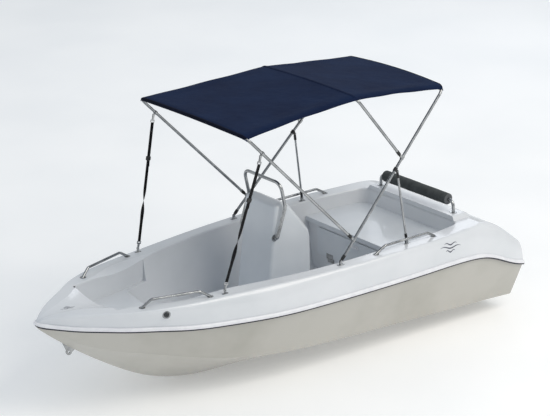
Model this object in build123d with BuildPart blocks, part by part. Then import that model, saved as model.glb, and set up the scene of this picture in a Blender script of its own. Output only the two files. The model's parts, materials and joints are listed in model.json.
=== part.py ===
from build123d import *
from math import atan, cos, pi, radians, sin, tan
import os

# Small open boat in glass-fibre moulding, with a centre console and a folding three-bow sun top.
# Frame: +X towards the bow, +Y to port, +Z up, millimetres.
# Origin: middle of the length, on the centreline, at the bottom of the keel.

os.makedirs("parts", exist_ok=True)

# ---------------------------------------------------------------- driving dimensions
LENGTH = 4000.0            # overall, over the rub rail
BEAM = 1494.0              # widest breadth of the mouldings at the sheer
DECK_HEIGHT = 810.0        # keel to the flat top of the gunwale
WALL = 6.0                 # laminate of hull, deck and console
GAP = 0.3                  # clearance between pieces that only lie against each other

SOLE_HEIGHT = 285.0        # cockpit floor
WELL_HEIGHT = 630.0        # platform in the bow
BENCH_HEIGHT = 695.0       # top of the stern bench
SEAT_BOARD = 6.0           # thickness of the bench top
TUBE = 11.0                # radius of the sun top's tubes
RAIL_TUBE = 10.0           # radius of the hand rails' tubes
BAR_TUBE = 12.5            # radius of the console rail and the stern bar
TUBE_WALL = 1.5
FLANGE = 3.0               # thickness of every round base plate
SCREW_HEAD = 1.6           # height of a pan head above its plate

HALF = LENGTH / 2
WIDE = BEAM / 2 / 747.0    # breadth factor on the offsets below
HIGH = DECK_HEIGHT / 810.0  # height factor on the offsets below
TRIM = 2.0                 # the lofted crest and keel run this far past their flat faces
CLEAR_OF = 200.0           # how far trimming blocks reach past the boat
SKY = 2.5 * DECK_HEIGHT    # top of trimming blocks

# Table of offsets, one row for each station:
# station / half length, keel height, keel half-breadth, chine half-breadth and height,
# sheer half-breadth and height, crest half-breadth and height, inner edge of the crest,
# height of the deck on the centreline
OFFSETS = [
    (-1.030, 0, 70, 640, 116, 700, 378, 640, 480, 540, 480),
    (-0.985, 0, 70, 640, 122, 712, 400, 625, 585, 540, 585),
    (-0.920, 0, 70, 639, 130, 724, 446, 628, 690, 545, 695),
    (-0.860, 0, 70, 636, 137, 732, 502, 638, 766, 556, 768),
    (-0.780, 0, 70, 632, 144, 742, 562, 655, 810, 570, 808),
    (-0.700, 0, 70, 628, 150, 746, 584, 680, 810, 590, 808),
    (-0.500, 0, 70, 620, 170, 747, 588, 712, 810, 630, 808),
    (-0.250, 0, 70, 612, 192, 746, 590, 702, 810, 620, 800),
    (0.000, 0, 70, 600, 216, 730, 593, 670, 810, 590, 790),
    (0.200, 0, 66, 568, 245, 695, 598, 622, 810, 530, 760),
    (0.380, 18, 56, 505, 298, 625, 612, 566, 810, 475, 720),
    (0.550, 105, 40, 400, 378, 540, 635, 508, 810, 440, 705),
    (0.650, 205, 32, 305, 422, 455, 655, 455, 810, 350, 735),
    (0.740, 318, 26, 205, 458, 375, 672, 368, 810, 275, 765),
    (0.820, 428, 22, 135, 515, 280, 688, 248, 810, 150, 785),
    (0.900, 550, 18, 75, 600, 165, 702, 140, 803, 70, 796),
    (0.955, 640, 12, 38, 672, 75, 718, 62, 788, 30, 785),
    (0.985, 695, 8, 18, 710, 28, 730, 20, 766, 8, 765),
    (0.993, 712, 5, 9, 722, 14, 737, 10, 752, 4, 751),
]
STEM_SOLID = 0.872 * HALF  # ahead of this the stem is solid laminate


def row_at(row):
    """One row of the table of offsets in millimetres."""
    station, keel_z, keel_y, chine_y, chine_z, sheer_y, sheer_z, crest_y, crest_z, band_y, mid_z = row
    values = {"x": station * HALF}
    values["keel"] = (keel_y * WIDE, keel_z * HIGH if keel_z else -TRIM)
    values["chine"] = (chine_y * WIDE, chine_z * HIGH)
    values["sheer"] = (sheer_y * WIDE, sheer_z * HIGH)
    top = crest_z * HIGH + (TRIM if crest_z == 810 else 0)
    values["crest"] = (crest_y * WIDE, top)
    values["band"] = (band_y * WIDE, top)
    values["middle"] = mid_z * HIGH
    return values


def along(x, key, index):
    """Offset of one line of the hull at any x, straight between stations."""
    rows = [row_at(row) for row in OFFSETS]
    for aft, fore in zip(rows, rows[1:]):
        if aft["x"] <= x <= fore["x"]:
            share = (x - aft["x"]) / (fore["x"] - aft["x"])
            return aft[key][index] + share * (fore[key][index] - aft[key][index])
    raise ValueError("outside the hull")


def block(x_low, x_high, y_low, y_high, z_low, z_high):
    """Rectangular block, given by its corners."""
    with BuildPart() as piece:
        with BuildSketch(Plane.XY.offset(z_low)):
            with Locations(((x_low + x_high) / 2, (y_low + y_high) / 2)):
                Rectangle(x_high - x_low, y_high - y_low)
        extrude(amount=z_high - z_low)
    return piece.part


def half_space(x_low, x_high, z_low, z_high):
    """A block for trimming that is wider than the boat."""
    return block(x_low, x_high, -BEAM, BEAM, z_low, z_high)


# ---------------------------------------------------------------- hull
TRANSOM_RAKE = 14.0        # degrees
TRANSOM_TOP = (-HALF, 400.0 * HIGH)


def hull_form(inset):
    """Hull volume up to the sheer; with an inset, the inner face carried past the sheer."""
    rise = inset * 4
    with BuildPart() as form:
        for row in OFFSETS:
            at = row_at(row)
            sheer_y, sheer_z = at["sheer"]
            chine_y, chine_z = at["chine"]
            keel_y, keel_z = at["keel"]
            half = [(sheer_y - inset, sheer_z + rise), (chine_y - inset, chine_z + inset * 0.4),
                    (keel_y, max(keel_z, 0) + inset if inset else keel_z)]
            other = [(-y, z) for y, z in reversed(half)]
            with BuildSketch(Plane.YZ.offset(at["x"])):
                with BuildLine():
                    Polyline(*half, *other, close=True)
                make_face()
        loft()
        if inset:
            add(half_space(-2 * HALF, STEM_SOLID, -TRIM, 2 * DECK_HEIGHT), mode=Mode.INTERSECT)
    return form.part


def rake_block(inset):
    """Everything ahead of the raked face of the transom, moved forward by the inset."""
    lean = tan(radians(TRANSOM_RAKE))
    shift = inset / cos(radians(TRANSOM_RAKE))
    top_x, top_z = TRANSOM_TOP
    foot = (top_x + shift + (top_z + 10) * lean, -10)
    head = (top_x + shift, top_z)
    with BuildPart() as block:
        with BuildSketch(Plane.XZ):
            with BuildLine():
                Polyline(foot, head, (head[0], SKY), (HALF + CLEAR_OF, SKY), (HALF + CLEAR_OF, -10),
                         close=True)
            make_face()
        extrude(amount=BEAM, both=True)
    return block.part


hull_outside = hull_form(0)
hull_inside = hull_form(WALL)

DRAIN_RADIUS = 12.0
DRAIN_HEIGHT = 62.0
drain_x = -HALF + (TRANSOM_TOP[1] - DRAIN_HEIGHT) * tan(radians(TRANSOM_RAKE))
drain_plane = Plane(origin=(drain_x, 0, DRAIN_HEIGHT),
                    z_dir=(-cos(radians(TRANSOM_RAKE)), 0, -sin(radians(TRANSOM_RAKE))))

with BuildPart() as hull_cavity:
    add(hull_inside)
    add(rake_block(WALL), mode=Mode.INTERSECT)

with BuildPart() as hull_volume:
    add(hull_outside)
    add(rake_block(0), mode=Mode.INTERSECT)
    add(half_space(-HALF - CLEAR_OF, HALF + CLEAR_OF, 0, SKY), mode=Mode.INTERSECT)

# ---------------------------------------------------------------- deck and cockpit liner
SHOULDER = 48.0            # reach of the round between flank and crest
SOLE_ROUND = 60.0          # cove between sole and sides
CORNER_ROUND = 80.0        # upright corners of the cockpit
WELL_ROUND = 55.0          # aft corners of the bow well
DECK_CLIP = 720.0 * HIGH   # the liner joins the deck skin above this height

# cockpit side, seen from above: x / half length and half-breadth
OPENING = [(-0.725, 545), (-0.60, 585), (-0.43, 598), (-0.20, 602), (0.0, 578), (0.20, 520),
           (0.375, 442), (0.475, 392), (0.625, 335), (0.750, 285)]
SOLE = [(-0.690, 515), (-0.45, 535), (-0.20, 530), (0.0, 505), (0.20, 440), (0.35, 355),
        (0.475, 250), (0.540, 190)]

BENCH_FRONT = -885.0       # upright front face of the bench
BOW_SEAT_SIDE = 815.0      # bow seat edge at the sides
BOW_SEAT_MIDDLE = 1060.0   # bow seat edge on the centreline
WELL_END = 800.0           # aft end of the bow well's upright sides

PLATFORM_TOP = DECK_HEIGHT + 35.0
PLATFORM_AFT = -1605.0
PLATFORM_HALF = 490.0

MOTOR_WELL_HALF = 290.0
MOTOR_WELL_FRONT = -1645.0
MOTOR_WELL_FLOOR = 430.0 * HIGH
TRANSOM_CORE = 32.0
TRANSOM_NOTCH = 510.0 * HIGH
NOTCH_HALF = MOTOR_WELL_HALF - 20
motor_well_aft = -HALF + 2 * WALL + TRANSOM_CORE + GAP


def outline(points, grow):
    """Closed cockpit outline from a list of stations, widened all round."""
    side = [(x * HALF, y * WIDE + grow) for x, y in points]
    aft_x = side[0][0] - grow
    fore_x = side[-1][0] + grow
    port = [(aft_x, side[0][1])] + side[1:-1] + [(fore_x, side[-1][1])]
    starboard = [(x, -y) for x, y in reversed(port)]
    with BuildLine() as line:
        Spline(*port)
        Line(port[-1], starboard[0])
        Spline(*starboard)
        Line(starboard[-1], port[0])
    return line.line


def cockpit_form(grow):
    """Cockpit volume from the sole to above the deck."""
    low = SOLE_HEIGHT - grow
    with BuildPart() as form:
        with BuildSketch(Plane.XY.offset(low)):
            add(outline(SOLE, grow))
            make_face()
        with BuildSketch(Plane.XY.offset(DECK_HEIGHT)):
            add(outline(OPENING, grow))
            make_face()
        loft(ruled=True)
        upright = form.edges().filter_by(lambda e: abs((e % 0.5).Z) > 0.5)
        fillet(upright, CORNER_ROUND + grow)
        floor = form.faces().sort_by(Axis.Z)[0]
        fillet(floor.edges(), SOLE_ROUND + grow)
        extrude(form.faces().sort_by(Axis.Z)[-1], amount=120)
    return form.part


def bow_seat_block(grow):
    """Solid under the bow seat, shrunk by the wall."""
    side_y = BEAM / 2
    with BuildPart() as block:
        with BuildSketch(Plane.XY.offset(-10)):
            with BuildLine():
                edge = ThreePointArc((BOW_SEAT_SIDE + grow, -side_y), (BOW_SEAT_MIDDLE + grow, 0),
                                     (BOW_SEAT_SIDE + grow, side_y))
                Polyline(edge @ 1, (HALF, side_y), (HALF, -side_y), edge @ 0)
            make_face()
        extrude(amount=WELL_HEIGHT - grow + 10)
    return block.part


def well_form(grow):
    """Upright-sided recess above the bow seat."""
    with BuildPart() as form:
        with BuildSketch(Plane.XY.offset(WELL_HEIGHT - grow)):
            add(outline(OPENING, grow))
            make_face()
        extrude(amount=DECK_HEIGHT + 120 - WELL_HEIGHT + grow)
        add(half_space(WELL_END - grow, HALF, 0, SKY), mode=Mode.INTERSECT)
        upright = form.edges().filter_by(Axis.Z)
        fillet(upright.group_by(Axis.X)[0], WELL_ROUND + grow)
    return form.part


def motor_well_form(grow):
    """Self-draining well ahead of the transom."""
    width = 2 * (MOTOR_WELL_HALF + grow)
    length = MOTOR_WELL_FRONT - motor_well_aft + 2 * grow
    middle = (MOTOR_WELL_FRONT + motor_well_aft) / 2
    with BuildPart(Plane.XY.offset(MOTOR_WELL_FLOOR - grow)) as form:
        with Locations((middle, 0)):
            Box(length, width, 600, align=(Align.CENTER, Align.CENTER, Align.MIN))
        fillet(form.edges().filter_by(Axis.Z), 30 + grow)
        fillet(form.faces().sort_by(Axis.Z)[0].edges(), 20 + grow)
    return form.part


def platform_form(inset):
    """Raised transverse step that carries the stern bar."""
    top = PLATFORM_TOP - inset
    length = -1400.0 - PLATFORM_AFT
    with BuildPart() as form:
        with BuildSketch(Plane.YZ.offset(PLATFORM_AFT + inset)):
            with BuildLine():
                Polyline((-PLATFORM_HALF - 60, DECK_HEIGHT - 60), (-PLATFORM_HALF + inset, top),
                         (PLATFORM_HALF - inset, top), (PLATFORM_HALF + 60, DECK_HEIGHT - 60), close=True)
            make_face()
        extrude(amount=length)
        top_face = form.faces().sort_by(Axis.Z)[-1]
        rounded = top_face.edges().sort_by(Axis.X)[:3]
        fillet(rounded, 22 - inset)
    return form.part


def deck_form(inset):
    """Deck volume above the sheer; with an inset, the inner face carried below the sheer."""
    drop = inset * 8
    with BuildPart() as form:
        for row in OFFSETS:
            at = row_at(row)
            sheer_y, sheer_z = at["sheer"][0] - inset, at["sheer"][1]
            crest_y, crest_z = at["crest"][0] - inset * 0.6, at["crest"][1] - inset
            band_y = at["band"][0]
            middle = at["middle"] - inset
            reach = min(SHOULDER, crest_y * 0.5)
            bulge_y = sheer_y + 0.25 * (crest_y + reach - sheer_y)
            bulge_z = sheer_z + 0.62 * (crest_z - sheer_z)
            with BuildSketch(Plane.YZ.offset(at["x"])):
                with BuildLine():
                    Bezier((sheer_y, sheer_z), (bulge_y, bulge_z), (crest_y + reach, crest_z),
                           (crest_y, crest_z))
                    Line((crest_y, crest_z), (band_y, crest_z))
                    Bezier((band_y, crest_z), (0, 2 * middle - crest_z), (-band_y, crest_z))
                    Line((-band_y, crest_z), (-crest_y, crest_z))
                    Bezier((-crest_y, crest_z), (-crest_y - reach, crest_z), (-bulge_y, bulge_z),
                           (-sheer_y, sheer_z))
                    if drop:
                        Polyline((-sheer_y, sheer_z), (-sheer_y, sheer_z - drop),
                                 (sheer_y, sheer_z - drop), (sheer_y, sheer_z))
                    else:
                        Line((-sheer_y, sheer_z), (sheer_y, sheer_z))
                make_face()
        loft()
        if inset:
            add(half_space(-2 * HALF, STEM_SOLID, 0, 2 * DECK_HEIGHT), mode=Mode.INTERSECT)
    return form.part


with BuildPart() as deck_volume:
    add(deck_form(0))
    add(half_space(-HALF, HALF, 0, DECK_HEIGHT), mode=Mode.INTERSECT)
    add(platform_form(0))

with BuildPart() as hull_shell:
    add(hull_volume.part)
    add(deck_volume.part, mode=Mode.SUBTRACT)
    add(hull_cavity.part, mode=Mode.SUBTRACT)
    with BuildSketch(drain_plane):
        Circle(DRAIN_RADIUS + GAP)
    extrude(amount=3 * WALL, both=True, mode=Mode.SUBTRACT)
hull_shell.part.label = "hull_shell"
export_step(hull_shell.part, "parts/hull_shell.step")

with BuildPart() as cockpit_inside:
    add(cockpit_form(0))
    add(bow_seat_block(0), mode=Mode.SUBTRACT)
    add(half_space(-HALF, BENCH_FRONT, 0, BENCH_HEIGHT - SEAT_BOARD), mode=Mode.SUBTRACT)
    add(well_form(0))

with BuildPart() as cockpit_outside:
    add(cockpit_form(WALL))
    add(bow_seat_block(WALL), mode=Mode.SUBTRACT)
    add(half_space(-HALF, BENCH_FRONT - WALL, 0, BENCH_HEIGHT - SEAT_BOARD - WALL), mode=Mode.SUBTRACT)
    add(well_form(WALL))

with BuildPart() as deck_void:
    add(deck_form(WALL))
    add(half_space(-HALF + WALL, HALF, 0, DECK_HEIGHT - WALL), mode=Mode.INTERSECT)
    add(platform_form(WALL))
    add(cockpit_outside.part, mode=Mode.SUBTRACT)
    add(motor_well_form(WALL), mode=Mode.SUBTRACT)

with BuildPart() as liner_low:
    add(cockpit_outside.part)
    add(half_space(-HALF, HALF, 0, DECK_CLIP), mode=Mode.INTERSECT)

with BuildPart() as motor_well_low:
    add(motor_well_form(WALL))
    add(half_space(-HALF, HALF, 0, TRANSOM_NOTCH), mode=Mode.INTERSECT)

DOOR_HALF = 455.0
DOOR_LOW = 415.0
DOOR_HIGH = 640.0
door_middle = (DOOR_LOW + DOOR_HIGH) / 2
DOOR_MARGIN = 22.0         # how far the door laps over its opening

LIP_ROUND = 14.0           # round along the inner edge of the gunwale
LIP_STEPS = 5
LIP_SINK = 0.15            # keeps the round clear of the cockpit's own faces


def lip_level(grow):
    """Outline of the cockpit's mouth, widened all round."""
    with BuildSketch(Plane.XY) as level:
        add(outline(OPENING, grow))
        make_face()
        fillet(level.vertices().group_by(Axis.X)[0], CORNER_ROUND + grow)
    return level.sketch


def lip_form():
    """Flaring volume that rounds the edge of the cockpit's mouth."""
    with BuildPart() as form:
        for step in range(LIP_STEPS):
            turn = radians(90.0 * step / (LIP_STEPS - 1))
            grow = LIP_ROUND * (1 - cos(turn)) - LIP_SINK
            height = DECK_HEIGHT - LIP_ROUND + LIP_ROUND * sin(turn)
            with BuildSketch(Plane.XY.offset(height)):
                add(lip_level(grow))
        loft(ruled=True)
    return form.part


with BuildPart() as deck_moulding:
    add(deck_volume.part)
    add(deck_void.part, mode=Mode.SUBTRACT)
    add(liner_low.part)
    add(motor_well_low.part)
    add(cockpit_inside.part, mode=Mode.SUBTRACT)
    add(lip_form(), mode=Mode.SUBTRACT)
    add(motor_well_form(0), mode=Mode.SUBTRACT)
    add(block(-HALF - 10, motor_well_aft + 40, -NOTCH_HALF, NOTCH_HALF, TRANSOM_NOTCH, 2 * DECK_HEIGHT),
        mode=Mode.SUBTRACT)
    with BuildSketch(Plane(origin=(BENCH_FRONT, 0, door_middle), x_dir=(0, 1, 0), z_dir=(1, 0, 0))):
        RectangleRounded(2 * (DOOR_HALF - DOOR_MARGIN), DOOR_HIGH - DOOR_LOW - 2 * DOOR_MARGIN, 30)
    extrude(amount=30, both=True, mode=Mode.SUBTRACT)
deck_moulding.part.label = "deck_moulding"
export_step(deck_moulding.part, "parts/deck_moulding.step")

# ---------------------------------------------------------------- rub rail and its insert
RAIL_REACH = 20.0          # how far the white rail stands out from the sheer
RAIL_TOP = 20.0            # above the sheer
RAIL_LOW = 4.0             # below the sheer
INSERT_REACH = 13.0
INSERT_LOW = 17.0          # lower edge of the coloured insert, below the sheer
NOSE_HALF = 12.0           # half-breadth of the rail's nose
CORE_HEIGHT = 80.0


def rail_band(reach, profile):
    """Band along the sheer: a full-breadth slab, before the hull is cut from it."""
    with BuildPart() as band:
        for row in OFFSETS[:-1]:
            at = row_at(row)
            sheer_y, sheer_z = at["sheer"]
            spread = reach * (1 + 0.35 * max(0, row[0]) ** 2)
            half = [(sheer_y + spread - inward, sheer_z + rise) for inward, rise in profile]
            other = [(-y, z) for y, z in reversed(half)]
            with BuildSketch(Plane.YZ.offset(at["x"])):
                with BuildLine():
                    Polyline(*half, *other, close=True)
                make_face()
        nose_x = HALF - (RAIL_REACH - reach)
        nose_z = row_at(OFFSETS[-1])["sheer"][1] + 3
        half = [(NOSE_HALF + reach - RAIL_REACH / 2 - inward / 2, nose_z + rise) for inward, rise in profile]
        other = [(-y, z) for y, z in reversed(half)]
        with BuildSketch(Plane.YZ.offset(nose_x)):
            with BuildLine():
                Polyline(*half, *other, close=True)
            make_face()
        loft()
    return band.part


def rail_core():
    """Slab just inside the sheer, so that no skin is left between hull and deck."""
    with BuildPart() as core:
        for row in OFFSETS:
            at = row_at(row)
            sheer_y, sheer_z = at["sheer"]
            with BuildSketch(Plane.YZ.offset(at["x"])):
                with Locations((0, sheer_z)):
                    Rectangle(2 * (sheer_y - 3), CORE_HEIGHT)
        loft()
    return core.part


sheer_core = rail_core()
with BuildPart() as rub_rail:
    add(rail_band(RAIL_REACH, [(0, -RAIL_LOW), (0, 6), (3, 13), (9, RAIL_TOP)]))
    add(half_space(-HALF, HALF, 0, 2 * DECK_HEIGHT), mode=Mode.INTERSECT)
    add(sheer_core, mode=Mode.SUBTRACT)
    add(deck_volume.part, mode=Mode.SUBTRACT)
    add(hull_volume.part, mode=Mode.SUBTRACT)
    add(motor_well_form(2 * WALL), mode=Mode.SUBTRACT)
rub_rail.part.label = "rub_rail"
export_step(rub_rail.part, "parts/rub_rail.step")

with BuildPart() as rub_rail_insert:
    add(rail_band(INSERT_REACH, [(2, -INSERT_LOW), (0, -INSERT_LOW + 3), (0, -RAIL_LOW)]))
    add(half_space(-HALF, HALF, 0, 2 * DECK_HEIGHT), mode=Mode.INTERSECT)
    add(sheer_core, mode=Mode.SUBTRACT)
    add(deck_volume.part, mode=Mode.SUBTRACT)
    add(hull_volume.part, mode=Mode.SUBTRACT)
    add(rub_rail.part, mode=Mode.SUBTRACT)
rub_rail_insert.part.label = "rub_rail_insert"
export_step(rub_rail_insert.part, "parts/rub_rail_insert.step")

# ---------------------------------------------------------------- inside the hull
STRINGER_Y = 210.0
STRINGER_WIDTH = 60.0
FOAM_INNER = STRINGER_Y + STRINGER_WIDTH / 2 + 5
FOAM_OUTER = 470.0
under_sole = SOLE_HEIGHT - WALL


def bilge_block(x_low, x_high, y_low, y_high):
    """Block between hull bottom and sole, on one side of the keel."""
    with BuildPart() as piece:
        add(block(x_low, x_high, y_low, y_high, 0, under_sole - GAP))
        add(hull_cavity.part, mode=Mode.INTERSECT)
        add(cockpit_outside.part, mode=Mode.SUBTRACT)
    return piece.part


with BuildPart() as stringers:
    add(bilge_block(-1880, 850, STRINGER_Y - STRINGER_WIDTH / 2, STRINGER_Y + STRINGER_WIDTH / 2))
    mirror(about=Plane.XZ)
stringers.part.label = "stringers"
export_step(stringers.part, "parts/stringers.step")

with BuildPart() as buoyancy_foam:
    add(bilge_block(-820, 560, FOAM_INNER, FOAM_OUTER))
    mirror(about=Plane.XZ)
buoyancy_foam.part.label = "buoyancy_foam"
export_step(buoyancy_foam.part, "parts/buoyancy_foam.step")

lean = tan(radians(TRANSOM_RAKE))
inner_top_x = -HALF + WALL / cos(radians(TRANSOM_RAKE)) + GAP
core_foot_z = 150.0
core_foot_x = inner_top_x + (TRANSOM_TOP[1] - core_foot_z) * lean
core_top_z = TRANSOM_NOTCH - WALL - GAP
with BuildPart() as transom_core:
    with BuildSketch(Plane.XZ):
        with BuildLine():
            Polyline((inner_top_x, core_top_z), (inner_top_x, TRANSOM_TOP[1]), (core_foot_x, core_foot_z),
                     (core_foot_x + TRANSOM_CORE, core_foot_z), (inner_top_x + TRANSOM_CORE, TRANSOM_TOP[1]),
                     (inner_top_x + TRANSOM_CORE, core_top_z), close=True)
        make_face()
    extrude(amount=MOTOR_WELL_HALF - 25, both=True)
    add(motor_well_form(WALL), mode=Mode.SUBTRACT)
    add(stringers.part, mode=Mode.SUBTRACT)
transom_core.part.label = "transom_core"
export_step(transom_core.part, "parts/transom_core.step")

with BuildPart() as drain_plug:
    with BuildSketch(drain_plane):
        Circle(20)
    extrude(amount=5)
    with BuildSketch(drain_plane):
        Circle(DRAIN_RADIUS)
    extrude(amount=-16)
    with BuildSketch(drain_plane.offset(5)):
        RegularPolygon(9, 6)
    extrude(amount=6)
drain_plug.part.label = "drain_plug"
export_step(drain_plug.part, "parts/drain_plug.step")

# ---------------------------------------------------------------- bow eye
EYE_X = 1742.0
EYE_Z = 462.0
EYE_RADIUS = 24.0
EYE_HOLE = 10.0
with BuildPart() as bow_eye:
    with BuildSketch(Plane.XZ):
        with Locations((EYE_X, EYE_Z)):
            Circle(EYE_RADIUS)
        with BuildLine():
            Polyline((EYE_X - 22, EYE_Z - 8), (EYE_X - 62, EYE_Z + 18), (EYE_X - 20, EYE_Z + 60),
                     (EYE_X + 62, EYE_Z + 110), (EYE_X + 20, EYE_Z + 14), close=True)
        make_face()
        with Locations((EYE_X, EYE_Z)):
            Circle(EYE_HOLE, mode=Mode.SUBTRACT)
    extrude(amount=6, both=True)
    add(hull_volume.part, mode=Mode.SUBTRACT)
bow_eye.part.label = "bow_eye"
export_step(bow_eye.part, "parts/bow_eye.step")

# ---------------------------------------------------------------- stern bench and its locker door
BENCH_LIP = 35.0
BENCH_OVERHANG = 22.0
bench_edge = BENCH_FRONT + BENCH_OVERHANG
with BuildPart() as bench_seat:
    add(cockpit_form(-GAP))
    add(half_space(-HALF, bench_edge, BENCH_HEIGHT - BENCH_LIP, BENCH_HEIGHT), mode=Mode.INTERSECT)
    add(half_space(-HALF, bench_edge - SEAT_BOARD, 0, BENCH_HEIGHT - SEAT_BOARD), mode=Mode.SUBTRACT)
bench_seat.part.label = "bench_seat"
export_step(bench_seat.part, "parts/bench_seat.step")

DOOR_THICK = 12.0
DOOR_ROUND = 20.0
door_back = BENCH_FRONT + GAP
door_face = door_back + DOOR_THICK
HINGE_LEAF = 2.0
HINGE_LENGTH = 80.0
HINGE_Y = 300.0
KNUCKLE = 5.0
HINGE_PIN = 2.0
PIN_PLAY = 0.05
hinge_x = BENCH_FRONT + 9.0
hinge_z = DOOR_LOW - 8.0

with BuildPart() as locker_door:
    with BuildSketch(Plane(origin=(door_back, 0, door_middle), x_dir=(0, 1, 0), z_dir=(1, 0, 0))):
        RectangleRounded(2 * DOOR_HALF, DOOR_HIGH - DOOR_LOW, DOOR_ROUND)
    extrude(amount=DOOR_THICK)
    fillet(locker_door.faces().sort_by(Axis.X)[-1].edges(), 3)
locker_door.part.label = "locker_door"
export_step(locker_door.part, "parts/locker_door.step")


def knuckle(y_low, y_high, bore):
    """One barrel of the locker hinge."""
    with BuildPart(Plane(origin=(hinge_x, y_low, hinge_z), x_dir=(1, 0, 0), z_dir=(0, 1, 0))) as barrel:
        Cylinder(KNUCKLE, y_high - y_low, align=(Align.CENTER, Align.CENTER, Align.MIN))
        Cylinder(bore, y_high - y_low, align=(Align.CENTER, Align.CENTER, Align.MIN), mode=Mode.SUBTRACT)
    return barrel.part


LEAF_LOW = 34.0            # fixed leaf below the pin
LEAF_HIGH = 42.0           # moving leaf above the pin
third = HINGE_LENGTH / 3
bore = HINGE_PIN + PIN_PLAY
with BuildPart() as hinge_fixed_leaves:
    for side in (-1, 1):
        low = side * HINGE_Y - HINGE_LENGTH / 2
        add(block(BENCH_FRONT, BENCH_FRONT + HINGE_LEAF, low, low + HINGE_LENGTH,
                  hinge_z - LEAF_LOW, hinge_z - KNUCKLE))
        for end_low, end_high in ((low, low + third - GAP), (low + 2 * third + GAP, low + HINGE_LENGTH)):
            add(block(BENCH_FRONT, hinge_x, end_low, end_high,
                      hinge_z - KNUCKLE - 1, hinge_z - HINGE_PIN - 1))
            add(knuckle(end_low, end_high, bore))
hinge_fixed_leaves.part.label = "hinge_fixed_leaves"

with BuildPart() as hinge_door_leaves:
    for side in (-1, 1):
        low = side * HINGE_Y - HINGE_LENGTH / 2
        add(knuckle(low + third, low + 2 * third, bore))
        add(block(door_face, door_face + HINGE_LEAF, low, low + HINGE_LENGTH,
                  hinge_z + KNUCKLE + 1, hinge_z + LEAF_HIGH))
        add(block(door_face, door_face + HINGE_LEAF, low + third, low + 2 * third, hinge_z + 1, hinge_z + 6))
        add(block(hinge_x + HINGE_PIN + 1, door_face + HINGE_LEAF, low + third, low + 2 * third,
                  hinge_z + 1, hinge_z + 4))
hinge_door_leaves.part.label = "hinge_door_leaves"

with BuildPart() as hinge_pins:
    for side in (-1, 1):
        start = (hinge_x, side * HINGE_Y - HINGE_LENGTH / 2, hinge_z)
        with BuildSketch(Plane(origin=start, x_dir=(1, 0, 0), z_dir=(0, 1, 0))):
            Circle(HINGE_PIN)
        extrude(amount=HINGE_LENGTH)
hinge_pins.part.label = "hinge_pins"
for piece in (hinge_fixed_leaves, hinge_door_leaves, hinge_pins):
    export_step(piece.part, f"parts/{piece.part.label}.step")

PULL_Z = DOOR_HIGH - 45
with BuildPart() as locker_pull:
    with BuildSketch(Plane(origin=(door_face, 0, PULL_Z), x_dir=(0, 1, 0), z_dir=(1, 0, 0))):
        SlotOverall(110, 30)
    extrude(amount=5)
    with BuildSketch(Plane(origin=(door_face + 5, 0, PULL_Z), x_dir=(0, 1, 0), z_dir=(1, 0, 0))):
        SlotOverall(90, 12)
    extrude(amount=16)
    fillet(locker_pull.faces().sort_by(Axis.X)[-1].edges(), 4)
locker_pull.part.label = "locker_pull"
export_step(locker_pull.part, "parts/locker_pull.step")

# ---------------------------------------------------------------- console
CONSOLE_HALF = 190.0
CONSOLE_EDGE = 28.0
CONSOLE_SIDE = [(150, SOLE_HEIGHT), (22, 1188), (-38, 1210), (-100, 1180), (-285, 940), (-300, 880),
                (-300, SOLE_HEIGHT)]


def console_form(inset):
    """Console volume, shrunk by the wall on every side but the sole."""
    with BuildPart() as form:
        with BuildSketch(Plane.XZ):
            with BuildLine():
                Polyline(*CONSOLE_SIDE, close=True)
            make_face()
            if inset:
                offset(amount=-inset, kind=Kind.INTERSECTION)
        extrude(amount=CONSOLE_HALF - inset, both=True)
        level = form.faces().sort_by(Axis.Z)[0]
        kept = level.edges()
        rounded = [edge for edge in form.edges() if edge not in kept]
        fillet(rounded, CONSOLE_EDGE - inset)
        if inset:
            extrude(form.faces().sort_by(Axis.Z)[0], amount=2 * inset)
    return form.part


with BuildPart() as console:
    add(console_form(0))
    add(console_form(WALL), mode=Mode.SUBTRACT)
console.part.label = "console"
export_step(console.part, "parts/console.step")

# ---------------------------------------------------------------- tubes and base plates


def tube(points, bends, radius, wall=TUBE_WALL):
    """Bent round tube along straight runs joined by arcs."""
    with BuildPart() as pipe:
        with BuildLine() as path:
            FilletPolyline(*points, radius=bends)
        with BuildSketch(Plane(origin=path.line @ 0, z_dir=path.line % 0)):
            Circle(radius)
            Circle(radius - wall, mode=Mode.SUBTRACT)
        sweep()
    return pipe.part


def base_plate(plane, radius, height=FLANGE, screws=2, reach=0.72, screw_radius=2.2):
    """Round base plate with screw holes, standing on a plane."""
    with BuildPart() as plate:
        with BuildSketch(plane):
            Circle(radius)
            with PolarLocations(radius * reach, screws):
                Circle(screw_radius, mode=Mode.SUBTRACT)
        extrude(amount=height)
    return plate.part


def screw_set(plane, radius, height=FLANGE, screws=2, reach=0.72, screw_radius=2.0):
    """Pan-head screws of one base plate; the shank ends flush with the deck."""
    with BuildPart() as group:
        with BuildSketch(plane.offset(height)):
            with PolarLocations(radius * reach, screws):
                Circle(2 * screw_radius)
        extrude(amount=SCREW_HEAD)
        with BuildSketch(plane):
            with PolarLocations(radius * reach, screws):
                Circle(screw_radius)
        extrude(amount=height)
    return group.part


def upward(x, y, z, turn=0.0):
    """Horizontal plane at a point, turned about the vertical."""
    return Plane(origin=(x, y, z), x_dir=(cos(radians(turn)), sin(radians(turn)), 0), z_dir=(0, 0, 1))


# ---------------------------------------------------------------- hand rails
RAIL_BEND = 32.0
HANDRAIL_PLATE = 23.0
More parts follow.
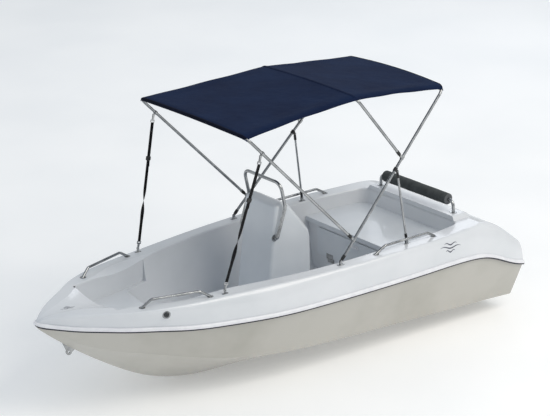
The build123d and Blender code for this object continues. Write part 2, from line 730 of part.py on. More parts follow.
# foot, shoulder, shoulder, foot of the port rails, seen from above; the shoulders' height over the deck
HANDRAILS = {
    "bow": [(1368, 374), (1295, 402), (950, 505), (862, 524), 54],
    "aft": [(-520, 657), (-625, 662), (-1035, 660), (-1130, 648), 50],
}
seat_z = DECK_HEIGHT + FLANGE
handrail_planes = []
for place, (foot_a, top_a, top_b, foot_b, rise) in HANDRAILS.items():
    for side, sign in (("port", 1), ("starboard", -1)):
        line = [(foot_a[0], sign * foot_a[1] * WIDE, DECK_HEIGHT - 6),
                (top_a[0], sign * top_a[1] * WIDE, DECK_HEIGHT + rise),
                (top_b[0], sign * top_b[1] * WIDE, DECK_HEIGHT + rise),
                (foot_b[0], sign * foot_b[1] * WIDE, DECK_HEIGHT - 6)]
        with BuildPart() as handrail:
            add(tube(line, RAIL_BEND, RAIL_TUBE))
            add(half_space(-HALF, HALF, 0, seat_z), mode=Mode.SUBTRACT)
        handrail.part.label = f"handrail_{place}_{side}"
        export_step(handrail.part, f"parts/{handrail.part.label}.step")
        for foot, top in ((foot_a, top_a), (foot_b, top_b)):
            lean_share = (seat_z - DECK_HEIGHT + 6) / (rise + 6)
            plate_x = foot[0] + (top[0] - foot[0]) * lean_share
            plate_y = sign * WIDE * (foot[1] + (top[1] - foot[1]) * lean_share)
            handrail_planes.append(upward(plate_x, plate_y, DECK_HEIGHT, 90))

with BuildPart() as handrail_plates:
    for plane in handrail_planes:
        add(base_plate(plane, HANDRAIL_PLATE))
handrail_plates.part.label = "handrail_plates"
with BuildPart() as handrail_screws:
    for plane in handrail_planes:
        add(screw_set(plane, HANDRAIL_PLATE))
handrail_screws.part.label = "handrail_screws"
for piece in (handrail_plates, handrail_screws):
    export_step(piece.part, f"parts/{piece.part.label}.step")

# ---------------------------------------------------------------- side lights
LIGHT_X = 1232.0
LIGHT_Z = 762.0 * HIGH
LIGHT_RADIUS = 31.0
LENS_RADIUS = 19.0
light_y = along(LIGHT_X, "sheer", 0)
light_axis = Vector(0.45, 0.86, 0.24).normalized()


def light_plane(sign, height):
    """Plane across the lamp's axis, at a height above the flank."""
    axis = Vector(light_axis.X, sign * light_axis.Y, light_axis.Z)
    origin = Vector(LIGHT_X, sign * (light_y + 2), LIGHT_Z) + axis * height
    return Plane(origin=origin, z_dir=axis)


with BuildPart() as side_light_housings:
    for sign in (1, -1):
        with BuildSketch(light_plane(sign, -30)):
            Circle(LIGHT_RADIUS)
        extrude(amount=44)
        with BuildSketch(light_plane(sign, 14)):
            Circle(LIGHT_RADIUS)
        extrude(amount=12, taper=32)
        with BuildSketch(light_plane(sign, 8)):
            Circle(LENS_RADIUS)
        extrude(amount=40, mode=Mode.SUBTRACT)
    add(deck_volume.part, mode=Mode.SUBTRACT)
side_light_housings.part.label = "side_light_housings"
export_step(side_light_housings.part, "parts/side_light_housings.step")
for side, sign in (("port", 1), ("starboard", -1)):
    with BuildPart() as side_light_lens:
        with BuildSketch(light_plane(sign, 8)):
            Circle(LENS_RADIUS - GAP / 2)
        extrude(amount=18)
        fillet(side_light_lens.faces().sort_by(Axis.Y if sign > 0 else -Axis.Y)[-1].edges(), 8)
        add(deck_volume.part, mode=Mode.SUBTRACT)
    side_light_lens.part.label = f"side_light_lens_{side}"
    export_step(side_light_lens.part, f"parts/{side_light_lens.part.label}.step")

# ---------------------------------------------------------------- console rail
GRAB_FOOT = (42.0, 950.0)
GRAB_BEND = (-40.0, 1180.0)
GRAB_TOP = (0.0, 1372.0)
GRAB_PLATE = 26.0
grab_y = CONSOLE_HALF + BAR_TUBE + 18
foot_x, foot_z = GRAB_FOOT
grab_line = [(foot_x, CONSOLE_HALF + FLANGE, foot_z), (foot_x, grab_y, foot_z),
             (GRAB_BEND[0], grab_y, GRAB_BEND[1]), (GRAB_TOP[0], grab_y, GRAB_TOP[1])]
grab_line += [(x, -y, z) for x, y, z in reversed(grab_line)]
with BuildPart() as console_rail:
    add(tube(grab_line, [18, 90, 62, 62, 90, 18], BAR_TUBE))
console_rail.part.label = "console_rail"
grab_planes = [Plane(origin=(foot_x, sign * CONSOLE_HALF, foot_z), x_dir=(1, 0, 0), z_dir=(0, sign, 0))
               for sign in (1, -1)]
with BuildPart() as console_rail_plates:
    for plane in grab_planes:
        add(base_plate(plane, GRAB_PLATE))
console_rail_plates.part.label = "console_rail_plates"

# ---------------------------------------------------------------- stern bar and its foam roll
BAR_X = -1515.0
BAR_FOOT_Y = 430.0
BAR_RISE = 92.0
BAR_PLATE = 30.0
ROLL_HALF = 372.0
ROLL_RADIUS = 46.0
bar_z = PLATFORM_TOP + BAR_RISE
bar_line = [(BAR_X, BAR_FOOT_Y, PLATFORM_TOP + FLANGE - 1), (BAR_X, BAR_FOOT_Y - 6, bar_z)]
bar_line += [(x, -y, z) for x, y, z in reversed(bar_line)]
with BuildPart() as stern_bar:
    add(tube(bar_line, 45, BAR_TUBE))
    add(half_space(-HALF, HALF, 0, PLATFORM_TOP + FLANGE), mode=Mode.SUBTRACT)
stern_bar.part.label = "stern_bar"
bar_planes = [upward(BAR_X, sign * BAR_FOOT_Y, PLATFORM_TOP) for sign in (1, -1)]
with BuildPart() as stern_bar_plates:
    for plane in bar_planes:
        add(base_plate(plane, BAR_PLATE, screws=3))
stern_bar_plates.part.label = "stern_bar_plates"
with BuildPart() as bar_screws:
    for plane in bar_planes:
        add(screw_set(plane, BAR_PLATE, screws=3))
    for plane in grab_planes:
        add(screw_set(plane, GRAB_PLATE))
bar_screws.part.label = "bar_screws"
with BuildPart() as stern_bar_roll:
    with BuildSketch(Plane(origin=(BAR_X, -ROLL_HALF, bar_z), x_dir=(1, 0, 0), z_dir=(0, 1, 0))):
        Circle(ROLL_RADIUS)
        Circle(BAR_TUBE + GAP, mode=Mode.SUBTRACT)
    extrude(amount=2 * ROLL_HALF)
    ends = stern_bar_roll.edges().filter_by(GeomType.CIRCLE).filter_by(lambda e: e.radius > ROLL_RADIUS - 1)
    fillet(ends, 10)
stern_bar_roll.part.label = "stern_bar_roll"
for piece in (console_rail, console_rail_plates, stern_bar, stern_bar_plates, bar_screws, stern_bar_roll):
    export_step(piece.part, f"parts/{piece.part.label}.step")

# ---------------------------------------------------------------- sun top: shared geometry
PIVOT_X = -207.0           # deck hinge of the main bow
PIVOT_RISE = 28.0
PIVOT_INSET = 32.0         # from the outer edge of the gunwale's flat
MAIN_ANGLE = 134.7         # bow planes at rest, degrees from forward
FRONT_ANGLE = 45.9
MID_ANGLE = 53.0
MAIN_REACH = 1531.0        # pivot to crossbar
FRONT_REACH = 1345.0
MID_REACH = 636.0
FRONT_ALONG = 186.0        # where the folding bows hinge, measured along the main bow
MID_ALONG = 904.0
POLE_ALONG = 800.0
JAW_OFFSET = 26.0          # hinge pin to tube axis
MAIN_CORNER = 568.0        # half-breadth of each crossbar at its corners
FRONT_CORNER = 652.0
MID_CORNER = 565.0
CROWN = 36.0               # rise of the crossbars' two halves towards the middle
CROWN_ROUND = 6500.0       # large bend that joins the two halves in an arch
BOW_CORNER = 75.0
LEG_BEND = 300.0
EYE_STRAIGHT = 64.0
EYE_THICK = 8.0
EYE_RADIUS_END = 9.0
CAP_RADIUS = 13.0
CAP_START = 18.0
CAP_LENGTH = 34.0
TUBE_START = 24.0
EAR_THICK = 3.0
EAR_PLAY = 0.3
PIN_RADIUS = 3.0
COLLAR_RADIUS = 15.0
COLLAR_HALF = 14.0

pivot_y = along(PIVOT_X, "crest", 0) - PIVOT_INSET
pivot = Vector(PIVOT_X, 0, DECK_HEIGHT + PIVOT_RISE)


def ray(angle):
    """Unit vector in the upright plane, at an angle from forward."""
    return Vector(cos(radians(angle)), 0, sin(radians(angle)))


def bow_plane(origin, angle):
    """Plane of a bow: local x to port, local y away from the pivot."""
    return Plane(origin=origin, x_dir=(0, 1, 0), z_dir=(sin(radians(angle)), 0, -cos(radians(angle))))


def main_leg_y(distance):
    """Half-breadth of the main bow's leg at a distance from its pivot."""
    share = max(0.0, distance - EYE_STRAIGHT) / (MAIN_REACH - EYE_STRAIGHT)
    return pivot_y - share * (pivot_y - MAIN_CORNER)


main_dir = ray(MAIN_ANGLE)
main_up = ray(MAIN_ANGLE - 90)
front_pivot = pivot + main_dir * FRONT_ALONG + main_up * JAW_OFFSET
mid_pivot = pivot + main_dir * MID_ALONG + main_up * JAW_OFFSET
pole_pivot = pivot + main_dir * POLE_ALONG - main_up * JAW_OFFSET
front_y = main_leg_y(FRONT_ALONG)
mid_y = main_leg_y(MID_ALONG)
pole_y = main_leg_y(POLE_ALONG)

main_plane = bow_plane(pivot, MAIN_ANGLE)
front_plane = bow_plane(front_pivot, FRONT_ANGLE)
mid_plane = bow_plane(mid_pivot, MID_ANGLE)


def bow_tube(plane, foot_y, corner, reach):
    """One bow: two legs, rounded corners and an arched crossbar."""
    local = [(foot_y, TUBE_START), (foot_y, EYE_STRAIGHT), (corner, reach), (0, reach + CROWN)]
    local += [(-y, s) for y, s in reversed(local[:-1])]
    points = [plane.from_local_coords(Vector(y, s, 0)) for y, s in local]
    return tube(points, [LEG_BEND, BOW_CORNER, CROWN_ROUND, BOW_CORNER, LEG_BEND], TUBE)


def eye_end(centre, direction, tube_radius, cap_radius, tube_start=TUBE_START):
    """End cap of a tube with a flat tongue and its pin hole."""
    flat = Vector(direction.X, 0, direction.Z).normalized()
    side = Vector(0, 1, 0)
    with BuildPart() as fitting:
        with BuildSketch(Plane(origin=centre + direction * CAP_START, z_dir=direction)):
            Circle(cap_radius)
        extrude(amount=CAP_LENGTH)
        with BuildSketch(Plane(origin=centre + direction * tube_start, z_dir=direction)):
            Circle(tube_radius)
        extrude(amount=CAP_LENGTH, mode=Mode.SUBTRACT)
        with BuildSketch(Plane(origin=centre - side * (EYE_THICK / 2), x_dir=flat, z_dir=side)):
            Circle(EYE_RADIUS_END)
            Rectangle(CAP_START + 3, 2 * EYE_RADIUS_END, align=(Align.MIN, Align.CENTER))
            Circle(PIN_RADIUS + PIN_PLAY, mode=Mode.SUBTRACT)
        extrude(amount=EYE_THICK)
    return fitting.part


def jaw(plane_origin, direction, to_pin, gap_half, offset_to_pin, collar_axis):
    """Collar round a tube with two ears that carry a pin beside the tube."""
    with BuildPart() as fitting:
        with BuildSketch(Plane(origin=plane_origin - collar_axis * COLLAR_HALF, z_dir=collar_axis)):
            Circle(COLLAR_RADIUS)
        extrude(amount=2 * COLLAR_HALF)
        for sign in (1, -1):
            start = gap_half if sign > 0 else -gap_half - EAR_THICK
            origin = plane_origin + Vector(0, start, 0)
            with BuildSketch(Plane(origin=origin, x_dir=to_pin, z_dir=(0, 1, 0))):
                with Locations((offset_to_pin, 0)):
                    Circle(EYE_RADIUS_END)
                Rectangle(offset_to_pin, 2 * EYE_RADIUS_END, align=(Align.MIN, Align.CENTER))
            extrude(amount=EAR_THICK)
        far = plane_origin - collar_axis * 60
        with BuildSketch(Plane(origin=far, z_dir=collar_axis)):
            Circle(TUBE)
        extrude(amount=120, mode=Mode.SUBTRACT)
        hole_origin = plane_origin + to_pin * offset_to_pin - Vector(0, 40, 0)
        with BuildSketch(Plane(origin=hole_origin, x_dir=to_pin, z_dir=(0, 1, 0))):
            Circle(PIN_RADIUS)
        extrude(amount=80, mode=Mode.SUBTRACT)
    return fitting.part


def pin(centre, half_length):
    """Headed hinge pin across the boat."""
    with BuildPart() as piece:
        with BuildSketch(Plane(origin=centre - Vector(0, half_length, 0), x_dir=(1, 0, 0), z_dir=(0, 1, 0))):
            Circle(PIN_RADIUS)
        extrude(amount=2 * half_length)
        for sign in (1, -1):
            start = centre + Vector(0, sign * half_length, 0)
            with BuildSketch(Plane(origin=start, x_dir=(1, 0, 0), z_dir=(0, sign, 0))):
                Circle(PIN_RADIUS + 1.8)
            extrude(amount=2)
    return piece.part


def both_sides(make):
    """A group of two solids, to port and to starboard."""
    with BuildPart() as group:
        for sign in (1, -1):
            add(make(sign))
    return group


def at_y(point, y):
    """The same point of the upright plane, at a half-breadth."""
    return Vector(point.X, y, point.Z)


def export(piece, label):
    piece.part.label = label
    export_step(piece.part, f"parts/{label}.step")


gap_half = EYE_THICK / 2 + EAR_PLAY
pin_half = gap_half + EAR_THICK
pole_gap = gap_half + 0.7


def main_leg_axis(sign):
    """Direction of the main bow's leg, away from its pivot."""
    rise = MAIN_REACH - EYE_STRAIGHT
    return (main_dir * rise + Vector(0, -sign * (pivot_y - MAIN_CORNER), 0)).normalized()


def leg_point(distance, sign):
    """Point on the axis of the main bow's leg."""
    return at_y(pivot + main_dir * distance, sign * main_leg_y(distance))


# ---------------------------------------------------------------- sun top: bows, end fittings, jaws and pins
with BuildPart() as main_bow:
    add(bow_tube(main_plane, pivot_y, MAIN_CORNER, MAIN_REACH))
export(main_bow, "main_bow")
with BuildPart() as front_bow:
    add(bow_tube(front_plane, front_y, FRONT_CORNER, FRONT_REACH))
export(front_bow, "front_bow")
with BuildPart() as mid_bow:
    add(bow_tube(mid_plane, mid_y, MID_CORNER, MID_REACH))
export(mid_bow, "mid_bow")

main_bow_ends = both_sides(lambda s: eye_end(at_y(pivot, s * pivot_y), main_dir, TUBE, CAP_RADIUS))
export(main_bow_ends, "main_bow_ends")
front_bow_ends = both_sides(
    lambda s: eye_end(at_y(front_pivot, s * front_y), ray(FRONT_ANGLE), TUBE, CAP_RADIUS))
export(front_bow_ends, "front_bow_ends")
mid_bow_ends = both_sides(lambda s: eye_end(at_y(mid_pivot, s * mid_y), ray(MID_ANGLE), TUBE, CAP_RADIUS))
export(mid_bow_ends, "mid_bow_ends")

front_bow_jaws = both_sides(
    lambda s: jaw(leg_point(FRONT_ALONG, s), main_dir, main_up, gap_half, JAW_OFFSET, main_leg_axis(s)))
export(front_bow_jaws, "front_bow_jaws")
mid_bow_jaws = both_sides(
    lambda s: jaw(leg_point(MID_ALONG, s), main_dir, main_up, gap_half, JAW_OFFSET, main_leg_axis(s)))
export(mid_bow_jaws, "mid_bow_jaws")
pole_jaws = both_sides(
    lambda s: jaw(leg_point(POLE_ALONG, s), main_dir, -main_up, pole_gap, JAW_OFFSET, main_leg_axis(s)))
export(pole_jaws, "pole_jaws")

with BuildPart() as bow_pins:
    for sign in (1, -1):
        add(pin(at_y(front_pivot, sign * front_y), pin_half))
        add(pin(at_y(mid_pivot, sign * mid_y), pin_half))
        add(pin(at_y(pole_pivot, sign * pole_y), pole_gap + EAR_THICK))
export(bow_pins, "bow_pins")

# ---------------------------------------------------------------- deck fittings of the sun top
STRAP_DECK_X = 763.0
STRAP_RISE = 27.0
STRAP_ALONG = 1150.0       # where the strap meets the front bow, from its hinge
STRAP_INSET = 20.0         # pad eye to the outer edge of the gunwale's flat
POLE_DECK_X = -862.0
POLE_INSET = 82.0
POLE_RISE = 26.0
strap_share = (STRAP_ALONG - EYE_STRAIGHT) / (FRONT_REACH - EYE_STRAIGHT)
strap_top_y = front_y - strap_share * (front_y - FRONT_CORNER)
strap_foot_y = along(STRAP_DECK_X, "crest", 0) - STRAP_INSET
pole_deck_y = along(POLE_DECK_X, "crest", 0) - POLE_INSET


def deck_jaw(x, y, rise, gap, hole, plate_length=58.0, plate_width=26.0):
    """Deck plate with two upright ears across the boat."""
    with BuildPart() as fitting:
        with BuildSketch(Plane(origin=(x, y, DECK_HEIGHT))):
            RectangleRounded(plate_length, plate_width, 8)
            with Locations((plate_length / 2 - 8, 0), (8 - plate_length / 2, 0)):
                Circle(2.2, mode=Mode.SUBTRACT)
        extrude(amount=FLANGE)
        for start in (gap, -gap - EAR_THICK):
            centre = (x, y + start, DECK_HEIGHT + rise)
            with BuildSketch(Plane(origin=centre, x_dir=(1, 0, 0), z_dir=(0, 1, 0))):
                Circle(EYE_RADIUS_END)
                Rectangle(2 * EYE_RADIUS_END, rise - 0.5, align=(Align.CENTER, Align.MIN))
                Circle(hole, mode=Mode.SUBTRACT)
            extrude(amount=EAR_THICK)
    return fitting.part


def plate_screws(x, y, plate_length=58.0):
    """The two screws of a deck plate."""
    with BuildPart() as group:
        for step in (plate_length / 2 - 8, 8 - plate_length / 2):
            with BuildSketch(Plane(origin=(x + step, y, DECK_HEIGHT))):
                Circle(2.0)
            extrude(amount=FLANGE)
            with BuildSketch(Plane(origin=(x + step, y, DECK_HEIGHT + FLANGE))):
                Circle(4.0)
            extrude(amount=SCREW_HEAD)
    return group.part


deck_hinges = both_sides(lambda s: deck_jaw(PIVOT_X, s * pivot_y, PIVOT_RISE, gap_half, PIN_RADIUS))
export(deck_hinges, "deck_hinges")
deck_hinge_pins = both_sides(lambda s: pin(at_y(pivot, s * pivot_y), pin_half))
export(deck_hinge_pins, "deck_hinge_pins")
pole_sockets = both_sides(lambda s: deck_jaw(POLE_DECK_X, s * pole_deck_y, POLE_RISE, pole_gap, PIN_RADIUS))
export(pole_sockets, "pole_sockets")

EAR_HALF = 2.0
HOOK_HOLE = 4.2


def pad_eye(x, y):
    """Deck plate with one upright eye for a strap hook."""
    with BuildPart() as fitting:
        with BuildSketch(Plane(origin=(x, y, DECK_HEIGHT))):
            RectangleRounded(52, 20, 7)
            with Locations((19, 0), (-19, 0)):
                Circle(2.2, mode=Mode.SUBTRACT)
        extrude(amount=FLANGE)
        eye = Plane(origin=(x, y - EAR_HALF, DECK_HEIGHT + STRAP_RISE), x_dir=(1, 0, 0), z_dir=(0, 1, 0))
        with BuildSketch(eye):
            Circle(EYE_RADIUS_END)
            Rectangle(2 * EYE_RADIUS_END, STRAP_RISE - 0.5, align=(Align.CENTER, Align.MIN))
            Circle(HOOK_HOLE, mode=Mode.SUBTRACT)
        extrude(amount=2 * EAR_HALF)
    return fitting.part


strap_pad_eyes = both_sides(lambda s: pad_eye(STRAP_DECK_X, s * strap_foot_y))
export(strap_pad_eyes, "strap_pad_eyes")
with BuildPart() as deck_screws:
    for sign in (1, -1):
        add(plate_screws(PIVOT_X, sign * pivot_y))
        add(plate_screws(POLE_DECK_X, sign * pole_deck_y))
        add(plate_screws(STRAP_DECK_X, sign * strap_foot_y, 54.0))
export(deck_screws, "deck_screws")

# ---------------------------------------------------------------- straps
STRAP_OFFSET = 24.0        # eye to the front bow's axis
WEB_WIDTH = 25.0
WEB_THICK = 2.0
HOOK_LENGTH = 58.0
HOOK_GAP = 3.0
HOOK_HALF = 6.0
HOOK_PIN = 4.1
BUCKLE_SHARE = 0.30
WEB_TAIL = 60.0            # doubled webbing past the buckle

front_dir = ray(FRONT_ANGLE)
front_down = ray(FRONT_ANGLE - 90)
strap_top = front_pivot + front_dir * STRAP_ALONG + front_down * STRAP_OFFSET
strap_foot = Vector(STRAP_DECK_X, 0, DECK_HEIGHT + STRAP_RISE)
strap_run = (strap_foot - strap_top).normalized()


def strap_eye(sign):
    """Collar on the front bow with a flat eye."""
    axis = (front_dir * (FRONT_REACH - EYE_STRAIGHT)
            + Vector(0, -sign * (front_y - FRONT_CORNER), 0)).normalized()
    centre = at_y(front_pivot + front_dir * STRAP_ALONG, sign * strap_top_y)
    with BuildPart() as fitting:
        with BuildSketch(Plane(origin=centre - axis * 9, z_dir=axis)):
            Circle(COLLAR_RADIUS)
        extrude(amount=18)
        with BuildSketch(Plane(origin=centre - Vector(0, EAR_HALF, 0), x_dir=front_down, z_dir=(0, 1, 0))):
            with Locations((STRAP_OFFSET, 0)):
                Circle(EYE_RADIUS_END)
            Rectangle(STRAP_OFFSET, 14, align=(Align.MIN, Align.CENTER))
            with Locations((STRAP_OFFSET, 0)):
                Circle(HOOK_HOLE, mode=Mode.SUBTRACT)
        extrude(amount=2 * EAR_HALF)
        with BuildSketch(Plane(origin=centre - axis * 40, z_dir=axis)):
            Circle(TUBE)
        extrude(amount=80, mode=Mode.SUBTRACT)
    return fitting.part


strap_eyes = both_sides(strap_eye)
export(strap_eyes, "strap_eyes")


def hook(centre, direction, with_pin):
    """Forked strap end: two cheeks beside an eye, a neck and a slotted frame."""
    middle = Plane(origin=centre, x_dir=direction, z_dir=(0, 1, 0))
    with BuildPart() as fitting:
        with BuildSketch(middle):
            Circle(EYE_RADIUS_END)
            Rectangle(38, 13, align=(Align.MIN, Align.CENTER))
        extrude(amount=HOOK_HALF, both=True)
        with BuildSketch(middle):
            Circle(EYE_RADIUS_END + 4)
        extrude(amount=HOOK_GAP, both=True, mode=Mode.SUBTRACT)
        with BuildSketch(middle):
            with Locations(((36 + HOOK_LENGTH) / 2, 0)):
                RectangleRounded(HOOK_LENGTH - 36, WEB_WIDTH + 10, 4)
        extrude(amount=2.5, both=True)
        with BuildSketch(middle):
            with Locations((49, 0)):
                SlotOverall(WEB_WIDTH + 2, 6, rotation=90)
        extrude(amount=10, both=True, mode=Mode.SUBTRACT)
        if with_pin:
            with BuildSketch(middle):
                Circle(HOOK_PIN)
            extrude(amount=HOOK_HALF, both=True)
        else:
            with BuildSketch(middle):
                Circle(HOOK_HOLE)
            extrude(amount=2 * HOOK_HALF, both=True, mode=Mode.SUBTRACT)
    return fitting.part


for side_name, sign in (("port", 1), ("starboard", -1)):
    top = at_y(strap_top, sign * strap_top_y)
    foot = at_y(strap_foot, sign * strap_foot_y)
    start = top + strap_run * (HOOK_LENGTH + GAP)
    finish = foot - strap_run * (HOOK_LENGTH + GAP)
    run = (finish - start).normalized()
    length = (finish - start).length
    side = (Vector(0, 1, 0) - run * run.Y).normalized()
    flat = Plane(origin=start, x_dir=run, z_dir=side)
    buckle_at = BUCKLE_SHARE * length
    with BuildPart() as webbing:
        with BuildSketch(flat):
            Rectangle(length, WEB_WIDTH, align=(Align.MIN, Align.CENTER))
        extrude(amount=WEB_THICK / 2, both=True)
        with BuildSketch(flat.offset(WEB_THICK / 2)):
            Rectangle(buckle_at + WEB_TAIL, WEB_WIDTH, align=(Align.MIN, Align.CENTER))
        extrude(amount=WEB_THICK)
    export(webbing, f"strap_webbing_{side_name}")
    with BuildPart() as hooks:
        add(hook(top, strap_run, True))
        add(hook(foot, -strap_run, False))
    export(hooks, f"strap_hooks_{side_name}")
    with BuildPart() as buckle:
        with BuildSketch(flat):
            with Locations((buckle_at, 0)):
                RectangleRounded(30, WEB_WIDTH + 12, 5)
        extrude(amount=5.5, both=True)
        add(webbing.part, mode=Mode.SUBTRACT)
    export(buckle, f"strap_buckle_{side_name}")

# ---------------------------------------------------------------- rear support poles
POLE_TUBE = 8.0
pole_foot = Vector(POLE_DECK_X, 0, DECK_HEIGHT + POLE_RISE)
for side_name, sign in (("port", 1), ("starboard", -1)):
    top = at_y(pole_pivot, sign * pole_y)
    foot = at_y(pole_foot, sign * pole_deck_y)
    run = (foot - top).normalized()
    length = (foot - top).length
    with BuildPart() as pole:
        with BuildSketch(Plane(origin=top + run * TUBE_START, z_dir=run)):
            Circle(POLE_TUBE)
            Circle(POLE_TUBE - TUBE_WALL, mode=Mode.SUBTRACT)
        extrude(amount=length - 2 * TUBE_START)
    export(pole, f"rear_pole_{side_name}")
    with BuildPart() as ends:
        add(eye_end(top, run, POLE_TUBE, POLE_TUBE + 2.5))
        add(eye_end(foot, -run, POLE_TUBE, POLE_TUBE + 2.5))
    export(ends, f"rear_pole_ends_{side_name}")

# ---------------------------------------------------------------- canopy
CANOPY_CLEAR = 11.8        # underside of the canopy above the axes of the crossbars
CANOPY_THICK = 2.0
CANOPY_TURN = 48.0         # how far round each corner the canopy reaches, degrees
CANOPY_WRAP = 14.0         # past the first and last crossbar
SEAM_GAP = 0.5
CANOPY_STEPS = 4           # points of the section on the arch, and again on each corner


def canopy_side(corner, foot_y, reach, climb, clear):
    """Points of one half of a canopy section, in a bow's plane raised by the clearance."""
    slope = atan(CROWN / corner)
    lean = atan((foot_y - corner) / (reach - EYE_STRAIGHT))
    turned = pi / 2 - slope - lean
    tangent = BOW_CORNER * tan(turned / 2)
    centre_y = corner - tangent * cos(slope) - BOW_CORNER * sin(slope)
    centre_s = reach + tangent * sin(slope) - BOW_CORNER * cos(slope)
    apex = reach + CROWN - CROWN_ROUND * (1 / cos(slope) - 1)
    arcs = [(centre_y, centre_s, BOW_CORNER, slope, radians(CANOPY_TURN)),
            (0, apex - CROWN_ROUND, CROWN_ROUND, 0, slope)]
    points = []
    for mid_y_at, mid_s_at, bend, least, most in arcs:
        for step in range(CANOPY_STEPS):
            turn = most + (least - most) * step / (CANOPY_STEPS - 1)
            drop = clear * (1 - cos(turn)) / climb
            points.append((mid_y_at + (bend + clear) * sin(turn), mid_s_at + bend * cos(turn) - drop))
    return points


def canopy_section(plane, shift, corner, foot_y, reach):
    """Cross-section of the canopy along one bow."""
    climb = plane.y_dir.Z
    lift = Vector(shift, 0, CANOPY_CLEAR)
    moved = Plane(origin=plane.origin + lift, x_dir=plane.x_dir, z_dir=plane.z_dir)
    port_low = canopy_side(corner, foot_y, reach, climb, CANOPY_CLEAR)
    port_high = canopy_side(corner, foot_y, reach, climb, CANOPY_CLEAR + CANOPY_THICK)
    low = port_low + [(-y, s) for y, s in reversed(port_low[:-1])]
    high = [(-y, s + CANOPY_THICK) for y, s in port_high]
    high += [(y, s + CANOPY_THICK) for y, s in reversed(port_high[:-1])]
    with BuildSketch(moved) as section:
        with BuildLine():
            Spline(*low)
            Line(low[-1], high[0])
            Spline(*high)
            Line(high[-1], low[0])
        make_face()
    return section.sketch


def canopy_panel(first, last):
    """Sheet between two bows, each given as plane, shift and reach."""
    with BuildPart() as panel:
        loft([canopy_section(*first), canopy_section(*last)], ruled=True)
    return panel


canopy_front = canopy_panel((mid_plane, SEAM_GAP, MID_CORNER, mid_y, MID_REACH),
                            (front_plane, CANOPY_WRAP, FRONT_CORNER, front_y, FRONT_REACH))
export(canopy_front, "canopy_front")
canopy_rear = canopy_panel((main_plane, -CANOPY_WRAP, MAIN_CORNER, pivot_y, MAIN_REACH),
                           (mid_plane, -SEAM_GAP, MID_CORNER, mid_y, MID_REACH))
export(canopy_rear, "canopy_rear")
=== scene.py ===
"""Small open boat with a folding three-bow sun top: finishes, soft goods, light and camera.

Everything is in metres, +X to the bow, +Y to port, +Z up.
"""
import bpy
import json
from math import atan, cos, hypot, pi, radians, sin, tan
from mathutils import Matrix, Vector


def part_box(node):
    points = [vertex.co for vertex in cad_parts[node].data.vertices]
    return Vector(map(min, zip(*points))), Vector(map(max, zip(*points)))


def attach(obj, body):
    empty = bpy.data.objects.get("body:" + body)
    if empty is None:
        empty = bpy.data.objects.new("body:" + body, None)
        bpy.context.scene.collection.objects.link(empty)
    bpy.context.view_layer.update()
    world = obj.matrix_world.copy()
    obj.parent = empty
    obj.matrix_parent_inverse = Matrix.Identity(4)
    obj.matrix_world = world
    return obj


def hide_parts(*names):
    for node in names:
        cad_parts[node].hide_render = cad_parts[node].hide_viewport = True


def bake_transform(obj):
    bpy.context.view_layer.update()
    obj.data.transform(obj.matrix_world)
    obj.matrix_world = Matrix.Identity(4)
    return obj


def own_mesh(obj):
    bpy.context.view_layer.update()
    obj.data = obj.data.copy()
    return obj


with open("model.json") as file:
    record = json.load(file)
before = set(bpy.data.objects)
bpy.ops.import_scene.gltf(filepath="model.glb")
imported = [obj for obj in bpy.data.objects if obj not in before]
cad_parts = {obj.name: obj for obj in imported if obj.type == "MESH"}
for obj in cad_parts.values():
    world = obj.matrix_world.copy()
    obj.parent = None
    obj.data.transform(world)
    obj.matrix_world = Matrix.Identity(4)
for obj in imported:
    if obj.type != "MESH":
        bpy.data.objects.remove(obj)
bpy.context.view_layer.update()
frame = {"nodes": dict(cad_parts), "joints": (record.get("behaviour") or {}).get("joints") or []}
NODES = frame["nodes"]
JOINTS = {joint["name"]: joint for joint in frame["joints"]}
SIDES = (("port", 1), ("starboard", -1))


# ---------------------------------------------------------------- materials
def srgb(code):
    """A hex colour as linear red, green, blue and alpha."""
    parts = [int(code[i:i + 2], 16) / 255 for i in (1, 3, 5)]
    linear = [p / 12.92 if p <= 0.04045 else ((p + 0.055) / 1.055) ** 2.4 for p in parts]
    return (*linear, 1.0)


def add_node(tree, kind, settings=None, values=None, links=None):
    """Adds one node; values and links are keyed by the input's name or number."""
    made = tree.nodes.new(kind)
    for name, value in (settings or {}).items():
        setattr(made, name, value)
    for name, value in (values or {}).items():
        made.inputs[name].default_value = value
    for name, (source, output) in (links or {}).items():
        tree.links.new(source.outputs[output], made.inputs[name])
    return made


def start_material(name, metallic=0.0, roughness=0.5, **sockets):
    """A material with a shader whose uniform values are set on its own sockets."""
    material = bpy.data.materials.new(name)
    material.use_nodes = True
    tree = material.node_tree
    tree.nodes.clear()
    shader = add_node(tree, "ShaderNodeBsdfPrincipled", values={"Metallic": metallic, "Roughness": roughness})
    for socket, value in sockets.items():
        shader.inputs[socket.replace("_", " ")].default_value = value
    add_node(tree, "ShaderNodeOutputMaterial", links={"Surface": (shader, "BSDF")})
    return material, tree, shader


def blotches(tree, place, size, detail=3.0, rough=0.55):
    """Soft noise whose patches are about that size in metres."""
    settings = {"Scale": 1 / size, "Detail": detail, "Roughness": rough}
    return add_node(tree, "ShaderNodeTexNoise", values=settings, links={"Vector": place})


def tint(tree, shader, source, dark, light, low=0.35, high=0.65):
    """Colour that runs between two hex values as a pattern goes from low to high."""
    ramp = add_node(tree, "ShaderNodeValToRGB", links={"Fac": source})
    ramp.color_ramp.elements[0].position = low
    ramp.color_ramp.elements[0].color = srgb(dark)
    ramp.color_ramp.elements[1].position = high
    ramp.color_ramp.elements[1].color = srgb(light)
    if shader:
        tree.links.new(ramp.outputs["Color"], shader.inputs["Base Color"])
    return ramp


def roughen(tree, shader, source, low, high):
    """Roughness that follows a pattern between two values."""
    span = add_node(tree, "ShaderNodeMapRange", values={"To Min": low, "To Max": high},
                    links={"Value": source})
    tree.links.new(span.outputs["Result"], shader.inputs["Roughness"])


